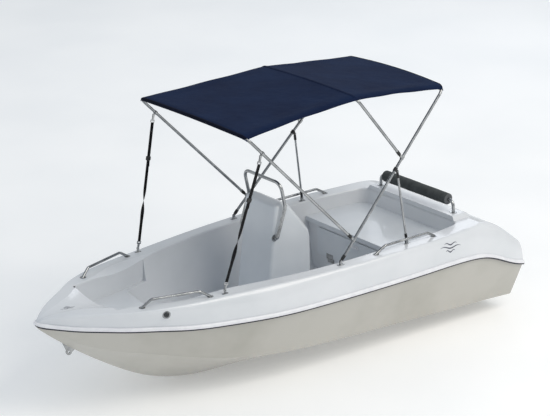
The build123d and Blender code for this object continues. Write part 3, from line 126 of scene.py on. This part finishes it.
def emboss(tree, shader, source, depth, strength=0.4, under=None):
    """Relief of a pattern, depth in metres."""
    links = {"Height": source}
    if under:
        links["Normal"] = (under, "Normal")
    relief = add_node(tree, "ShaderNodeBump", values={"Strength": strength, "Distance": depth}, links=links)
    tree.links.new(relief.outputs["Normal"], shader.inputs["Normal"])
    return relief


def object_place(tree):
    """The pattern's place, from the piece's own coordinates in metres."""
    return (add_node(tree, "ShaderNodeTexCoord"), "Object")


def gelcoat(name, light, dark, gloss=0.22):
    """Polyester gelcoat from a polished mould: hard gloss, faint print-through of the mat, dull scuffs."""
    material, tree, shader = start_material(name, roughness=gloss, IOR=1.52,
                                            Coat_Weight=0.25, Coat_Roughness=0.06)
    place = object_place(tree)
    cloud = blotches(tree, place, 0.45)
    scuff = blotches(tree, place, 0.035, detail=6.0, rough=0.7)
    tint(tree, shader, (cloud, "Fac"), dark, light, 0.3, 0.6)
    roughen(tree, shader, (scuff, "Fac"), gloss - 0.02, gloss + 0.06)
    # the mat's strands are about 12 mm apart and print through by hundredths of a millimetre
    print_through = blotches(tree, place, 0.012, detail=2.0)
    emboss(tree, shader, (print_through, "Fac"), 0.0002, 0.05)
    return material


def stainless(name, tone, rough=0.2):
    """AISI 316, mechanically polished: bright, with fine hairlines and finger-dulled patches."""
    material, tree, shader = start_material(name, metallic=1.0, roughness=rough)
    place = object_place(tree)
    # polishing lines are drawn 3 mm apart, where the real ones are tenths of a millimetre
    lines = blotches(tree, place, 0.003, detail=4.0)
    dull = blotches(tree, place, 0.09, detail=4.0, rough=0.65)
    tint(tree, shader, (dull, "Fac"), tone[0], tone[1], 0.3, 0.7)
    roughen(tree, shader, (dull, "Fac"), rough - 0.04, rough + 0.14)
    emboss(tree, shader, (lines, "Fac"), 0.0001, 0.04)
    return material


def moulded(name, light, dark, rough, grain, depth, **sockets):
    """Moulded plastic or rubber with a fine spark-eroded grain."""
    material, tree, shader = start_material(name, roughness=rough, **sockets)
    place = object_place(tree)
    patch = blotches(tree, place, 0.06, detail=4.0)
    fine = blotches(tree, place, grain, detail=3.0)
    tint(tree, shader, (patch, "Fac"), dark, light, 0.3, 0.7)
    roughen(tree, shader, (patch, "Fac"), rough - 0.08, rough + 0.1)
    emboss(tree, shader, (fine, "Fac"), depth, 0.35)
    return material


def canvas(name, light, dark):
    """Solution-dyed acrylic canvas: matt plain weave with a faint sheen, folds and sun-faded patches."""
    material, tree, shader = start_material(name, roughness=0.88, Sheen_Weight=0.03, Sheen_Roughness=0.4,
                                            Specular_IOR_Level=0.12)
    shader.inputs["Sheen Tint"].default_value = srgb("#8fa0c8")
    cloth = (add_node(tree, "ShaderNodeUVMap", settings={"uv_map": "cloth"}), "UV")
    fade = blotches(tree, cloth, 0.35, detail=4.0, rough=0.6)
    fold = blotches(tree, cloth, 0.09, detail=3.0)
    tint(tree, shader, (fade, "Fac"), dark, light, 0.3, 0.68)
    # threads are drawn 4 mm apart, where the real weave has about 2 a millimetre
    warp = add_node(tree, "ShaderNodeTexWave", settings={"bands_direction": "X"},
                    values={"Scale": 80.0, "Distortion": 0.6}, links={"Vector": cloth})
    weft = add_node(tree, "ShaderNodeTexWave", settings={"bands_direction": "Y"},
                    values={"Scale": 80.0, "Distortion": 0.6}, links={"Vector": cloth})
    weave = add_node(tree, "ShaderNodeMath", settings={"operation": "MULTIPLY"},
                     links={0: (warp, "Fac"), 1: (weft, "Fac")})
    soft = emboss(tree, shader, (fold, "Fac"), 0.012, 0.35)
    emboss(tree, shader, (weave, "Value"), 0.0006, 0.5, under=soft)
    return material


def webbing(name):
    """Black polypropylene webbing, ribbed across every 4 mm."""
    material, tree, shader = start_material(name, roughness=0.7, Specular_IOR_Level=0.2)
    place = object_place(tree)
    rib = add_node(tree, "ShaderNodeTexWave", settings={"bands_direction": "Z"},
                   values={"Scale": 80.0, "Distortion": 0.3}, links={"Vector": place})
    wear = blotches(tree, place, 0.03)
    tint(tree, shader, (wear, "Fac"), "#08080a", "#17171a", 0.3, 0.75)
    emboss(tree, shader, (rib, "Fac"), 0.0008, 0.6)
    return material


def plywood(name):
    """Marine plywood sealed with resin: grain 25 mm apart that runs lengthwise."""
    material, tree, shader = start_material(name, roughness=0.4, Coat_Weight=0.4)
    place = object_place(tree)
    stretch = add_node(tree, "ShaderNodeMapping", values={"Scale": (1.0, 12.0, 12.0)},
                       links={"Vector": place})
    grain = blotches(tree, (stretch, "Vector"), 0.3, detail=8.0, rough=0.65)
    tint(tree, shader, (grain, "Fac"), "#6f4a2a", "#b98a56", 0.3, 0.7)
    emboss(tree, shader, (grain, "Fac"), 0.0008, 0.4)
    return material


def cut_foam(name, light, dark, pore, depth):
    """Closed-cell foam: dull skin with pores."""
    material, tree, shader = start_material(name, roughness=0.82, Specular_IOR_Level=0.2)
    place = object_place(tree)
    cells = add_node(tree, "ShaderNodeTexVoronoi", values={"Scale": 1 / pore}, links={"Vector": place})
    patch = blotches(tree, place, 0.05, detail=5.0, rough=0.65)
    tint(tree, shader, (patch, "Fac"), dark, light, 0.25, 0.75)
    dents = emboss(tree, shader, (patch, "Fac"), 0.003, 0.5)
    emboss(tree, shader, (cells, "Distance"), depth, 0.6, under=dents)
    return material


WHITE = gelcoat("gelcoat_white", "#dde0e4", "#d6dade")
# painted shade: a darker, bluer copy of the white gelcoat, standing in for the shaded cockpit interior under
# the sun top; used on the console, bench seat and locker door
WHITE_PAINTED_SHADE = gelcoat("gelcoat_white_painted_shade", "#d6dbe0", "#cdd3d9", gloss=0.28)
HULL = gelcoat("gelcoat_hull_side", "#bcbab3", "#b0aea6", gloss=0.2)
STEEL = stainless("stainless_polished", ("#8b8d8f", "#b9bbbc"))
CHROME = stainless("chrome_plate", ("#a6a8aa", "#c8cacb"), rough=0.12)
NYLON = moulded("nylon_black", "#1d1e20", "#0f1011", 0.45, 0.0012, 0.0003)
VINYL = moulded("vinyl_white", "#ecedf0", "#dfe0e5", 0.32, 0.0015, 0.0002)
STRIPE = moulded("vinyl_navy", "#14152e", "#0b0c1d", 0.34, 0.0015, 0.0002)
CANVAS = canvas("acrylic_canvas_navy", "#142544", "#0e1b37")
# painted shade: a darker copy of the navy canvas, standing in for the shadow along the seam's fold over the
# middle bow and along the side hems
SEAM_PAINTED_SHADE = canvas("acrylic_canvas_navy_painted_fold_shade", "#11203e", "#0c1832")
BINDING = canvas("acrylic_binding_navy", "#0b1226", "#060a17")
WEBBING = webbing("polypropylene_webbing")
PLY = plywood("marine_plywood")
BUOYANT = cut_foam("polyurethane_foam", "#e0cf9c", "#c9b47c", 0.004, 0.0015)
ROLL = cut_foam("rubber_foam_skin", "#525657", "#3c4041", 0.003, 0.0007)
ROLL_END = cut_foam("rubber_foam_cut_end", "#6f7174", "#55585b", 0.003, 0.001)
BRASS = stainless("brass_turned", ("#a5813f", "#c9a45c"), rough=0.25)
LENS = moulded("polycarbonate_smoke", "#2b3136", "#14181b", 0.12, 0.002, 0.0001, IOR=1.58, Coat_Weight=0.6)
INK = moulded("vinyl_film_slate", "#4a4c5e", "#34364a", 0.4, 0.0015, 0.0001)

FINISHES = {
    "hull_shell": HULL, "deck_moulding": WHITE, "console": WHITE_PAINTED_SHADE, "bench_seat": WHITE_PAINTED_SHADE, "locker_door": WHITE_PAINTED_SHADE,
    "locker_pull": VINYL, "rub_rail": VINYL, "rub_rail_insert": STRIPE, "stringers": PLY, "transom_core": PLY,
    "buoyancy_foam": BUOYANT, "drain_plug": BRASS, "side_light_housings": CHROME,
    "side_light_lens_port": LENS, "side_light_lens_starboard": LENS,
    "pole_jaws": NYLON, "main_bow_ends": NYLON,
    "front_bow_ends": NYLON, "mid_bow_ends": NYLON, "rear_pole_ends_port": NYLON,
    "rear_pole_ends_starboard": NYLON, "strap_buckle_port": NYLON,
    "strap_buckle_starboard": NYLON, "strap_webbing_port": WEBBING, "strap_webbing_starboard": WEBBING,
}


def paint(piece, material):
    """One material on the whole piece."""
    piece.data.materials.clear()
    piece.data.materials.append(material)


for label, part in NODES.items():
    paint(part, FINISHES.get(label, STEEL))


# ---------------------------------------------------------------- mesh helpers
def nothing_selected():
    """Leaves object mode with nothing selected."""
    if bpy.context.object and bpy.context.object.mode != "OBJECT":
        bpy.ops.object.mode_set(mode="OBJECT")
    bpy.ops.object.select_all(action="DESELECT")


def chosen(*pieces):
    """Selects only these pieces, the first one active."""
    nothing_selected()
    for piece in pieces:
        piece.select_set(True)
    bpy.context.view_layer.objects.active = pieces[0]


def finish_modifier(piece, kind, **settings):
    """Adds one modifier and applies it."""
    chosen(piece)
    bpy.ops.object.modifier_add(type=kind)
    modifier = piece.modifiers[-1]
    for name, value in settings.items():
        setattr(modifier, name, value)
    bpy.ops.object.modifier_apply(modifier=modifier.name)


def smooth(piece, angle=35):
    """Smooth shading, with edges sharper than the angle kept."""
    chosen(piece)
    bpy.ops.object.shade_smooth_by_angle(angle=radians(angle))


def settle(piece):
    """Puts the piece's turn, scale and place into its mesh."""
    chosen(piece)
    bpy.ops.object.transform_apply(location=True, rotation=True, scale=True)


def outward(piece):
    """Merges doubles and turns every face outwards."""
    chosen(piece)
    bpy.ops.object.mode_set(mode="EDIT")
    bpy.ops.mesh.select_all(action="SELECT")
    bpy.ops.mesh.remove_doubles(threshold=0.00002)
    bpy.ops.mesh.normals_make_consistent(inside=False)
    bpy.ops.object.mode_set(mode="OBJECT")


def cloth_grid(name, columns, rows, place):
    """A grid of cloth: place(u, v) gives a point, and its flat coordinates are in the map called cloth."""
    nothing_selected()
    bpy.ops.mesh.primitive_grid_add(x_subdivisions=columns, y_subdivisions=rows, size=2.0)
    piece = bpy.context.object
    piece.name = name
    mesh = piece.data
    shares = [((v.co.x + 1) / 2, (v.co.y + 1) / 2) for v in mesh.vertices]
    spots = [place(u, v) for u, v in shares]
    for vertex, (point, flat) in zip(mesh.vertices, spots):
        vertex.co = point
    layer = mesh.uv_layers[0] if mesh.uv_layers else mesh.uv_layers.new()
    layer.name = "cloth"
    for loop in mesh.loops:
        layer.data[loop.index].uv = spots[loop.vertex_index][1]
    return piece


def face_area(piece):
    """Area of a single sheet of faces, in square metres."""
    return sum(face.area for face in piece.data.polygons)


# ---------------------------------------------------------------- sun top canvas
TUBE = 0.011               # radius of the bows
OVER = 0.0128              # canvas above a bow's axis
CROWN = 0.036              # rise of a crossbar's halves to its middle
ARCH = 6.5                 # the two halves are joined in an arch of this radius
CORNER = 0.075             # bend between crossbar and leg
EYE_RUN = 0.064            # straight foot of a leg
CLOTH_TURN = radians(54)   # how far round the corners the cloth reaches
CLOTH = 0.0014             # thickness of the cloth
SAG = 0.012                # of a panel between its bows
WRAP = 0.022               # cloth carried past the outer bows


def bow_at(node, joint, forward, corner, foot):
    """Where a bow lies: its pivot, its direction, and the sizes of its arch, straights and corners."""
    low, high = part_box(node)
    crown = Vector((high[0] - TUBE if forward else low[0] + TUBE, 0, high[2] - TUBE))
    pivot = Vector(JOINTS[joint]["pos_m"])
    run = crown - pivot
    slope = atan(CROWN / corner)
    reach = run.length - CROWN + ARCH * (1 / cos(slope) - 1)
    lean = atan((foot - corner) / (reach - EYE_RUN))
    tangent = CORNER * tan((pi / 2 - slope - lean) / 2)
    straight = (corner - tangent * cos(slope) - ARCH * sin(slope)) / cos(slope)
    return {"pivot": pivot, "run": run.normalized(), "apex": run.length, "slope": slope,
            "arch": ARCH * slope, "straight": straight, "crown": crown,
            "centre_y": corner - tangent * cos(slope) - CORNER * sin(slope),
            "centre_s": reach + tangent * sin(slope) - CORNER * cos(slope),
            "half": ARCH * slope + straight + (CORNER + OVER) * (CLOTH_TURN - slope)}


PIVOT_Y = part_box("main_bow")[1][1] - TUBE
MAIN_CORNER, FRONT_CORNER, MID_CORNER = 0.568, 0.652, 0.565
FRONT_ALONG, MID_ALONG, MAIN_REACH = 0.186, 0.904, 1.531


def leg_y(distance):
    """Half-breadth of the main bow's leg."""
    return PIVOT_Y - (distance - EYE_RUN) / (MAIN_REACH - EYE_RUN) * (PIVOT_Y - MAIN_CORNER)


MAIN = bow_at("main_bow", "main_bow_tilt", False, MAIN_CORNER, PIVOT_Y)
FRONT = bow_at("front_bow", "front_bow_fold", True, FRONT_CORNER, leg_y(FRONT_ALONG))
MID = bow_at("mid_bow", "mid_bow_fold", True, MID_CORNER, leg_y(MID_ALONG))


def on_bow(bow, share, off):
    """Point beside a bow at a share of the canvas's half width, at a distance from the tube's axis."""
    side = 1 if share >= 0 else -1
    way = abs(share) * bow["half"]
    if way <= bow["arch"]:
        turn = way / ARCH
        across, up = ARCH * sin(turn), bow["apex"] - ARCH * (1 - cos(turn))
    elif way <= bow["arch"] + bow["straight"]:
        turn = bow["slope"]
        past = way - bow["arch"]
        across = ARCH * sin(turn) + past * cos(turn)
        up = bow["apex"] - ARCH * (1 - cos(turn)) - past * sin(turn)
    else:
        turn = bow["slope"] + (way - bow["arch"] - bow["straight"]) / (CORNER + OVER)
        across = bow["centre_y"] + CORNER * sin(turn)
        up = bow["centre_s"] + CORNER * cos(turn)
    axis = bow["pivot"] + bow["run"] * up + Vector((0, side * across, 0))
    return axis + Vector((0, side * sin(turn), cos(turn))) * off


EDGE_START = 0.72          # share of the half width where the taut side begins
PULL_IN = 0.016            # side edge pulled inwards between the bows
EDGE_RISE = 0.010          # side edge above the sagging middle
FOLD_HEIGHT = 0.0022
TAUT_SIDES = 0.55          # how much less the sides sag


def canvas_point(first, last, share, way, sag, lift=0.0):
    """Point of the stretched canvas between two bows, with its sag and pulled-in sides."""
    a = on_bow(first, share, OVER + lift)
    b = on_bow(last, share, OVER + lift)
    middle = 4 * way * (1 - way)
    point = a.lerp(b, way)
    point.z -= sag * middle * (1 - TAUT_SIDES * share * share)
    edge = max(0.0, abs(share) - EDGE_START) / (1 - EDGE_START)
    point.y -= PULL_IN * middle * edge * (1 if share > 0 else -1)
    point.z += EDGE_RISE * middle * edge
    # shallow tension folds run from the corners towards the middle
    near = (1 - abs(share)) * 9 + way * 7
    point.z += FOLD_HEIGHT * sin(near * 2.1) * edge * middle
    return point


def canvas_panel(name, first, last, sag, columns=72, rows=36, wrap=(0.0, 0.0)):
    """One panel of canvas, carried past its bows by the wraps."""
    length = (first["crown"] - last["crown"]).length

    def place(u, v):
        share = 2 * u - 1
        way = (v * (length + wrap[0] + wrap[1]) - wrap[0]) / length
        inner = min(1.0, max(0.0, way))
        point = canvas_point(first, last, share, inner, sag)
        over = (way - inner) * length
        if over:
            # past a bow the cloth turns down round the tube
            ends = [canvas_point(first, last, share, end, sag) for end in (0, 1)]
            ahead = (ends[1] - ends[0]).normalized()
            turn = min(abs(over) / OVER, pi * 0.8)
            point = point + ahead * (OVER * sin(turn) * (1 if over > 0 else -1))
            point.z -= OVER * (1 - cos(turn))
        return point, (share * first["half"], way * length)

    piece = cloth_grid(name, columns, rows, place)
    cut = (2 * max(first["half"], last["half"]), length + wrap[0] + wrap[1])
    area = face_area(piece)
    finish_modifier(piece, "SOLIDIFY", thickness=CLOTH, offset=1.0)
    paint(piece, CANVAS)
    smooth(piece, 60)
    return piece, cut, min(area, cut[0] * cut[1])


def hem(name, first, last, sag, side):
    """Double fold along one side edge of a panel, a little proud of it."""
    def place(u, v):
        share = side * (0.955 + 0.046 * u)
        point = canvas_point(first, last, share, v, sag, lift=0.0012)
        return point, (share * first["half"], v)

    piece = cloth_grid(name, 4, 32, place)
    finish_modifier(piece, "SOLIDIFY", thickness=0.0018, offset=0.0)
    # painted shade: the hem is a darker navy than its panel
    paint(piece, SEAM_PAINTED_SHADE)
    outward(piece)
    smooth(piece, 50)
    return piece


def sleeve(name, bow, tails, material, reach=0.985, radius=0.0136):
    """Pocket sewn round a crossbar; each tail is where it runs out along the canvas, as a lean from level."""
    stations, ring = 72, 20

    def place(u, v):
        share = (2 * v - 1) * reach
        here = on_bow(bow, share, 0.0)
        away = on_bow(bow, share, 1.0) - here
        level = Vector((1, 0, 0))
        angle = 2 * pi * u
        spread = radius
        for lean in tails:
            gap = abs((angle - lean + pi) % (2 * pi) - pi)
            spread = max(spread, radius + 0.030 * max(0.0, 1 - gap / 0.42) ** 2)
        point = here + (level * cos(angle) + away * sin(angle)) * spread
        return point, (spread * angle, share * bow["half"])

    piece = cloth_grid(name, ring, stations, place)
    outward(piece)
    finish_modifier(piece, "SOLIDIFY", thickness=0.0008, offset=1.0)
    paint(piece, material)
    smooth(piece, 60)
    return piece


rear_panel, rear_cut, rear_area = canvas_panel("canopy_cloth_rear", MAIN, MID, SAG, wrap=(WRAP, 0.0))
front_panel, front_cut, front_area = canvas_panel("canopy_cloth_front", MID, FRONT, SAG, wrap=(0.0, WRAP))
rear_hems = [hem(f"canopy_hem_rear_{label}", MAIN, MID, SAG, side) for label, side in SIDES]
front_hems = [hem(f"canopy_hem_front_{label}", MID, FRONT, SAG, side) for label, side in SIDES]
sleeve_rear = sleeve("canopy_sleeve_rear", MAIN, [radians(8)], BINDING)
sleeve_mid = sleeve("canopy_sleeve_middle", MID, [radians(0), radians(180)], BINDING, radius=0.0122)
sleeve_front = sleeve("canopy_sleeve_front", FRONT, [radians(172)], BINDING)


def seam_strip():
    """Folded seam across the top, over the middle bow."""
    def place(u, v):
        share = (2 * v - 1) * 0.995
        centre = on_bow(MID, share, OVER + 0.0022)
        lean = 0.026 * (u - 0.5)
        crest = 0.0016 * (1 - (2 * u - 1) ** 2)
        return centre + Vector((lean, 0, crest - abs(lean) * 0.06)), (lean, share * MID["half"])

    piece = cloth_grid("canopy_seam_middle", 6, 64, place)
    finish_modifier(piece, "SOLIDIFY", thickness=0.0022, offset=-1.0)
    # painted shade: the seam is a darker navy than the panels, for the shadow of its fold
    paint(piece, SEAM_PAINTED_SHADE)
    smooth(piece, 60)
    return piece


seam = seam_strip()
for piece in [rear_panel] + rear_hems:
    tuple(MAIN["crown"])
    tuple(MID["crown"])
    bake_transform(piece)
for piece in [front_panel] + front_hems:
    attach(piece, "front_bow")
    tuple(FRONT["crown"])
    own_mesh(piece)
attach(sleeve_rear, "main_bow")
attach(sleeve_mid, "mid_bow")
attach(seam, "mid_bow")
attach(sleeve_front, "front_bow")
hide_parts("canopy_front")
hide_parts("canopy_rear")


# ---------------------------------------------------------------- foam roll on the stern bar
BORE = 0.0135              # radius of the hole round the bar
BORE_DEPTH = 0.020
END_ROUND = 0.009
RINGS = 24                 # rings of vertices along the roll
DENT = 0.0009              # how far the skin is uneven


def foam_roll():
    """Closed-cell foam tube with rounded, paler cut ends."""
    low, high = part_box("stern_bar_roll")
    radius = (high[2] - low[2]) / 2
    centre = ((low[0] + high[0]) / 2, 0, (low[2] + high[2]) / 2)
    length = high[1] - low[1]
    nothing_selected()
    bpy.ops.mesh.primitive_cylinder_add(vertices=72, radius=radius, depth=length, end_fill_type="NGON",
                                        location=centre, rotation=(pi / 2, 0, 0))
    piece = bpy.context.object
    piece.name = "foam_roll"
    settle(piece)
    bpy.ops.object.mode_set(mode="EDIT")
    bpy.ops.mesh.select_mode(type="FACE")
    bpy.ops.mesh.select_all(action="DESELECT")
    bpy.ops.object.mode_set(mode="OBJECT")
    for face in piece.data.polygons:
        face.select = abs(face.normal.y) > 0.9
    bpy.ops.object.mode_set(mode="EDIT")
    bpy.ops.mesh.inset(thickness=radius - BORE, depth=0.0)
    bpy.ops.mesh.inset(thickness=0.0006, depth=-BORE_DEPTH)
    bpy.ops.mesh.select_mode(type="EDGE")
    bpy.ops.object.mode_set(mode="OBJECT")
    for edge in piece.data.edges:
        ends = [piece.data.vertices[i].co for i in edge.vertices]
        outer = all(abs(hypot(p.x - centre[0], p.z - centre[2]) - radius) < 0.0005 for p in ends)
        edge.select = outer and abs(ends[0].y - ends[1].y) < 0.0005
    bpy.ops.object.mode_set(mode="EDIT")
    bpy.ops.mesh.bevel(offset=END_ROUND, segments=5, affect="EDGES")
    bpy.ops.object.mode_set(mode="OBJECT")
    for step in range(1, RINGS):
        along = -length / 2 + length * step / RINGS
        chosen(piece)
        bpy.ops.object.mode_set(mode="EDIT")
        bpy.ops.mesh.select_all(action="SELECT")
        bpy.ops.mesh.bisect(plane_co=(0, along, 0), plane_no=(0, 1, 0))
        bpy.ops.object.mode_set(mode="OBJECT")
    for vertex in piece.data.vertices:
        from_axis = Vector((vertex.co.x - centre[0], 0, vertex.co.z - centre[2]))
        if from_axis.length > radius * 0.65:
            wave = sin(vertex.co.y * 23) * 0.5 + sin(vertex.co.y * 61 + from_axis.x * 90) * 0.3
            vertex.co -= from_axis.normalized() * (DENT + DENT * wave)
    paint(piece, ROLL)
    piece.data.materials.append(ROLL_END)
    for face in piece.data.polygons:
        face.material_index = 1 if abs(face.normal.y) > 0.75 else 0
    outward(piece)
    smooth(piece, 40)
    return piece


roll = foam_roll()
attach(roll, "boat")
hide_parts("stern_bar_roll")


# ---------------------------------------------------------------- strap webbing
WEB_HALF = 0.0125          # half width of the webbing
WEB_THICK = 0.002
WEB_DOUBLED = 0.30         # share of the strap that is doubled, down to the buckle
WEB_TAIL = 0.06            # loose end past the buckle
TWIST_LOW, TWIST_SPAN = 0.15, 0.30   # shares of the length where the half turn starts and how long it is


def middle_of(spots):
    """Mean of some points."""
    return sum(spots, Vector()) / len(spots)


def strap_web(side):
    """Webbing with a half turn in its lower part and a doubled upper part with a loose end."""
    spots = [vertex.co.copy() for vertex in NODES[f"strap_webbing_{side}"].data.vertices]
    bottom, top = min(p.z for p in spots), max(p.z for p in spots)
    foot = middle_of([p for p in spots if p.z < bottom + 0.02])
    head = middle_of([p for p in spots if p.z > top - 0.02])
    run = (head - foot).normalized()
    length = (head - foot).length
    out = (Vector((0, 1, 0)) - run * run.y).normalized()
    wide = out.cross(run)

    def place(u, v):
        way = min(1.0, max(0.0, (v - TWIST_LOW) / TWIST_SPAN))
        turn = pi * (1 - way * way * (3 - 2 * way))
        across = wide * cos(turn) + out * sin(turn)
        reach = (2 * u - 1) * WEB_HALF
        return foot + run * (v * length) + across * reach, (reach, v * length)

    doubled = WEB_DOUBLED * length + WEB_TAIL

    def place_doubled(u, v):
        way = length - doubled * (1 - v)
        loose = max(0.0, 1 - v * doubled / WEB_TAIL)
        reach = (2 * u - 1) * WEB_HALF
        point = foot + run * way + wide * reach + out * (WEB_THICK + 0.004 * loose * loose)
        return point, (reach, way)

    strip = cloth_grid(f"strap_web_{side}", 4, 96, place)
    second = cloth_grid(f"strap_web_second_{side}", 4, 36, place_doubled)
    for layer in (strip, second):
        finish_modifier(layer, "SOLIDIFY", thickness=WEB_THICK * 0.9, offset=0.0)
        outward(layer)
    chosen(strip, second)
    bpy.ops.object.join()
    paint(strip, WEBBING)
    smooth(strip, 40)
    return strip


for side, _ in SIDES:
    web = strap_web(side)
    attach(web, f"strap_{side}")
    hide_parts(f"strap_webbing_{side}")


# ---------------------------------------------------------------- wave marks
FILM = 0.0005              # thickness of the film


def wave_mark(name, centre, along, across, length):
    """Three tapering waves of film laid on the deck moulding."""
    waves = []
    for share, rise in ((1.0, 0.0), (0.62, 0.12), (0.45, -0.14)):
        reach = length * share

        def place(u, v):
            width = length * 0.045 * (0.12 + 0.88 * sin(pi * v))
            height = length * (rise + 0.035 * sin(3 * pi * v)) + width * (u - 0.5)
            return centre + along * (reach * (v - 0.5)) + across * height, (reach * v, height)

        waves.append(cloth_grid(f"{name}_{len(waves)}", 2, 48, place))
    chosen(*waves)
    bpy.ops.object.join()
    mark = bpy.context.object
    mark.name = name
    finish_modifier(mark, "SHRINKWRAP", target=NODES["deck_moulding"], wrap_method="NEAREST_SURFACEPOINT",
                    wrap_mode="ABOVE_SURFACE", offset=FILM)
    finish_modifier(mark, "SOLIDIFY", thickness=FILM, offset=0.0)
    outward(mark)
    paint(mark, INK)
    smooth(mark, 40)
    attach(mark, "boat")


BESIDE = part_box("rub_rail")[1][1]
FLANK_INSET = 0.022        # flank of the quarter inside the rub rail's outer edge
for side, sign in SIDES:
    spot = Vector((-1.20, sign * (BESIDE - FLANK_INSET), 0.727))
    wave_mark(f"wave_mark_{side}", spot, Vector((-0.99, 0, -0.10)), Vector((-0.10, 0, 0.99)), 0.22)
wave_mark("wave_mark_bow", Vector((1.73, 0, 0.803)), Vector((-1, 0, 0)), Vector((0, 1, 0)), 0.12)


# ---------------------------------------------------------------- camera, light and floor
def camera_from(place, azimuth, elevation, roll_angle, lens):
    """Camera at a place, looking back along its azimuth and elevation."""
    az, el, tip = radians(azimuth), radians(elevation), radians(roll_angle)
    back = Vector((sin(az) * cos(el), -cos(az) * cos(el), sin(el)))
    right = Vector((cos(az), sin(az), 0))
    upward = back.cross(right).normalized()
    level = right * cos(tip) + upward * sin(tip)
    rise = upward * cos(tip) - right * sin(tip)
    data = bpy.data.cameras.new("camera")
    data.lens = lens
    data.sensor_width = 36
    data.clip_end = 400
    made = bpy.data.objects.new("camera", data)
    bpy.context.scene.collection.objects.link(made)
    made.matrix_world = Matrix(((level.x, rise.x, back.x, place[0]), (level.y, rise.y, back.y, place[1]),
                                (level.z, rise.z, back.z, place[2]), (0, 0, 0, 1)))
    return made


TARGET = Vector((-0.1138, 0, 1.0967))
DISTANCE = 15.631
AZIMUTH, ELEVATION, TIP = 142.6687, 19.7493, -1.3517
toward = Vector((sin(radians(AZIMUTH)) * cos(radians(ELEVATION)),
                 -cos(radians(AZIMUTH)) * cos(radians(ELEVATION)), sin(radians(ELEVATION))))
bpy.context.scene.camera = camera_from(TARGET + toward * DISTANCE, AZIMUTH, ELEVATION, TIP, 137.44)


def area_light(name, place, aim, size, power, tone):
    """Soft rectangular light that faces a point."""
    data = bpy.data.lights.new(name, "AREA")
    data.shape = "RECTANGLE"
    data.size, data.size_y = size
    data.energy = power
    data.color = srgb(tone)[:3]
    made = bpy.data.objects.new(name, data)
    bpy.context.scene.collection.objects.link(made)
    made.location = place
    made.rotation_euler = (Vector(aim) - Vector(place)).to_track_quat("-Z", "Y").to_euler()
    return made


area_light("key", (-3.5, 7.0, 9.0), (0, 0, 0.6), (7.0, 7.0), 640, "#fff8ee")
area_light("fill", (9.0, -3.0, 5.0), (0, 0, 0.8), (6, 4), 40, "#dfe9f6")
area_light("back", (-9.0, -6.0, 6.0), (0, 0, 1.2), (5, 4), 120, "#eef3fb")

world = bpy.data.worlds.new("studio")
bpy.context.scene.world = world
world.use_nodes = True
sky = world.node_tree
sky.nodes.clear()
spot = add_node(sky, "ShaderNodeTexCoord")
height = add_node(sky, "ShaderNodeSeparateXYZ", links={"Vector": (spot, "Generated")})
band = add_node(sky, "ShaderNodeValToRGB", links={"Fac": (height, "Z")})
band.color_ramp.elements[0].position = 0.0
band.color_ramp.elements[0].color = srgb("#7d7f80")
band.color_ramp.elements[1].position = 0.75
band.color_ramp.elements[1].color = srgb("#dfe8f2")
horizon = band.color_ramp.elements.new(0.12)
horizon.color = srgb("#f4f5f4")
glow = add_node(sky, "ShaderNodeBackground", values={"Strength": 0.66}, links={"Color": (band, "Color")})
add_node(sky, "ShaderNodeOutputWorld", links={"Surface": (glow, "Background")})

nothing_selected()
bpy.ops.mesh.primitive_plane_add(size=160, location=(0, 0, 0))
floor = bpy.context.object
floor.name = "studio_floor"
FLOOR, tree, shader = start_material("studio_floor_paint", roughness=0.9, Emission_Strength=0.22)
shader.inputs["Emission Color"].default_value = srgb("#ffffff")
tint(tree, shader, (blotches(tree, object_place(tree), 1.5), "Fac"), "#e9eaea", "#f0f0ef")
paint(floor, FLOOR)
bpy.context.scene.view_settings.view_transform = "Standard"
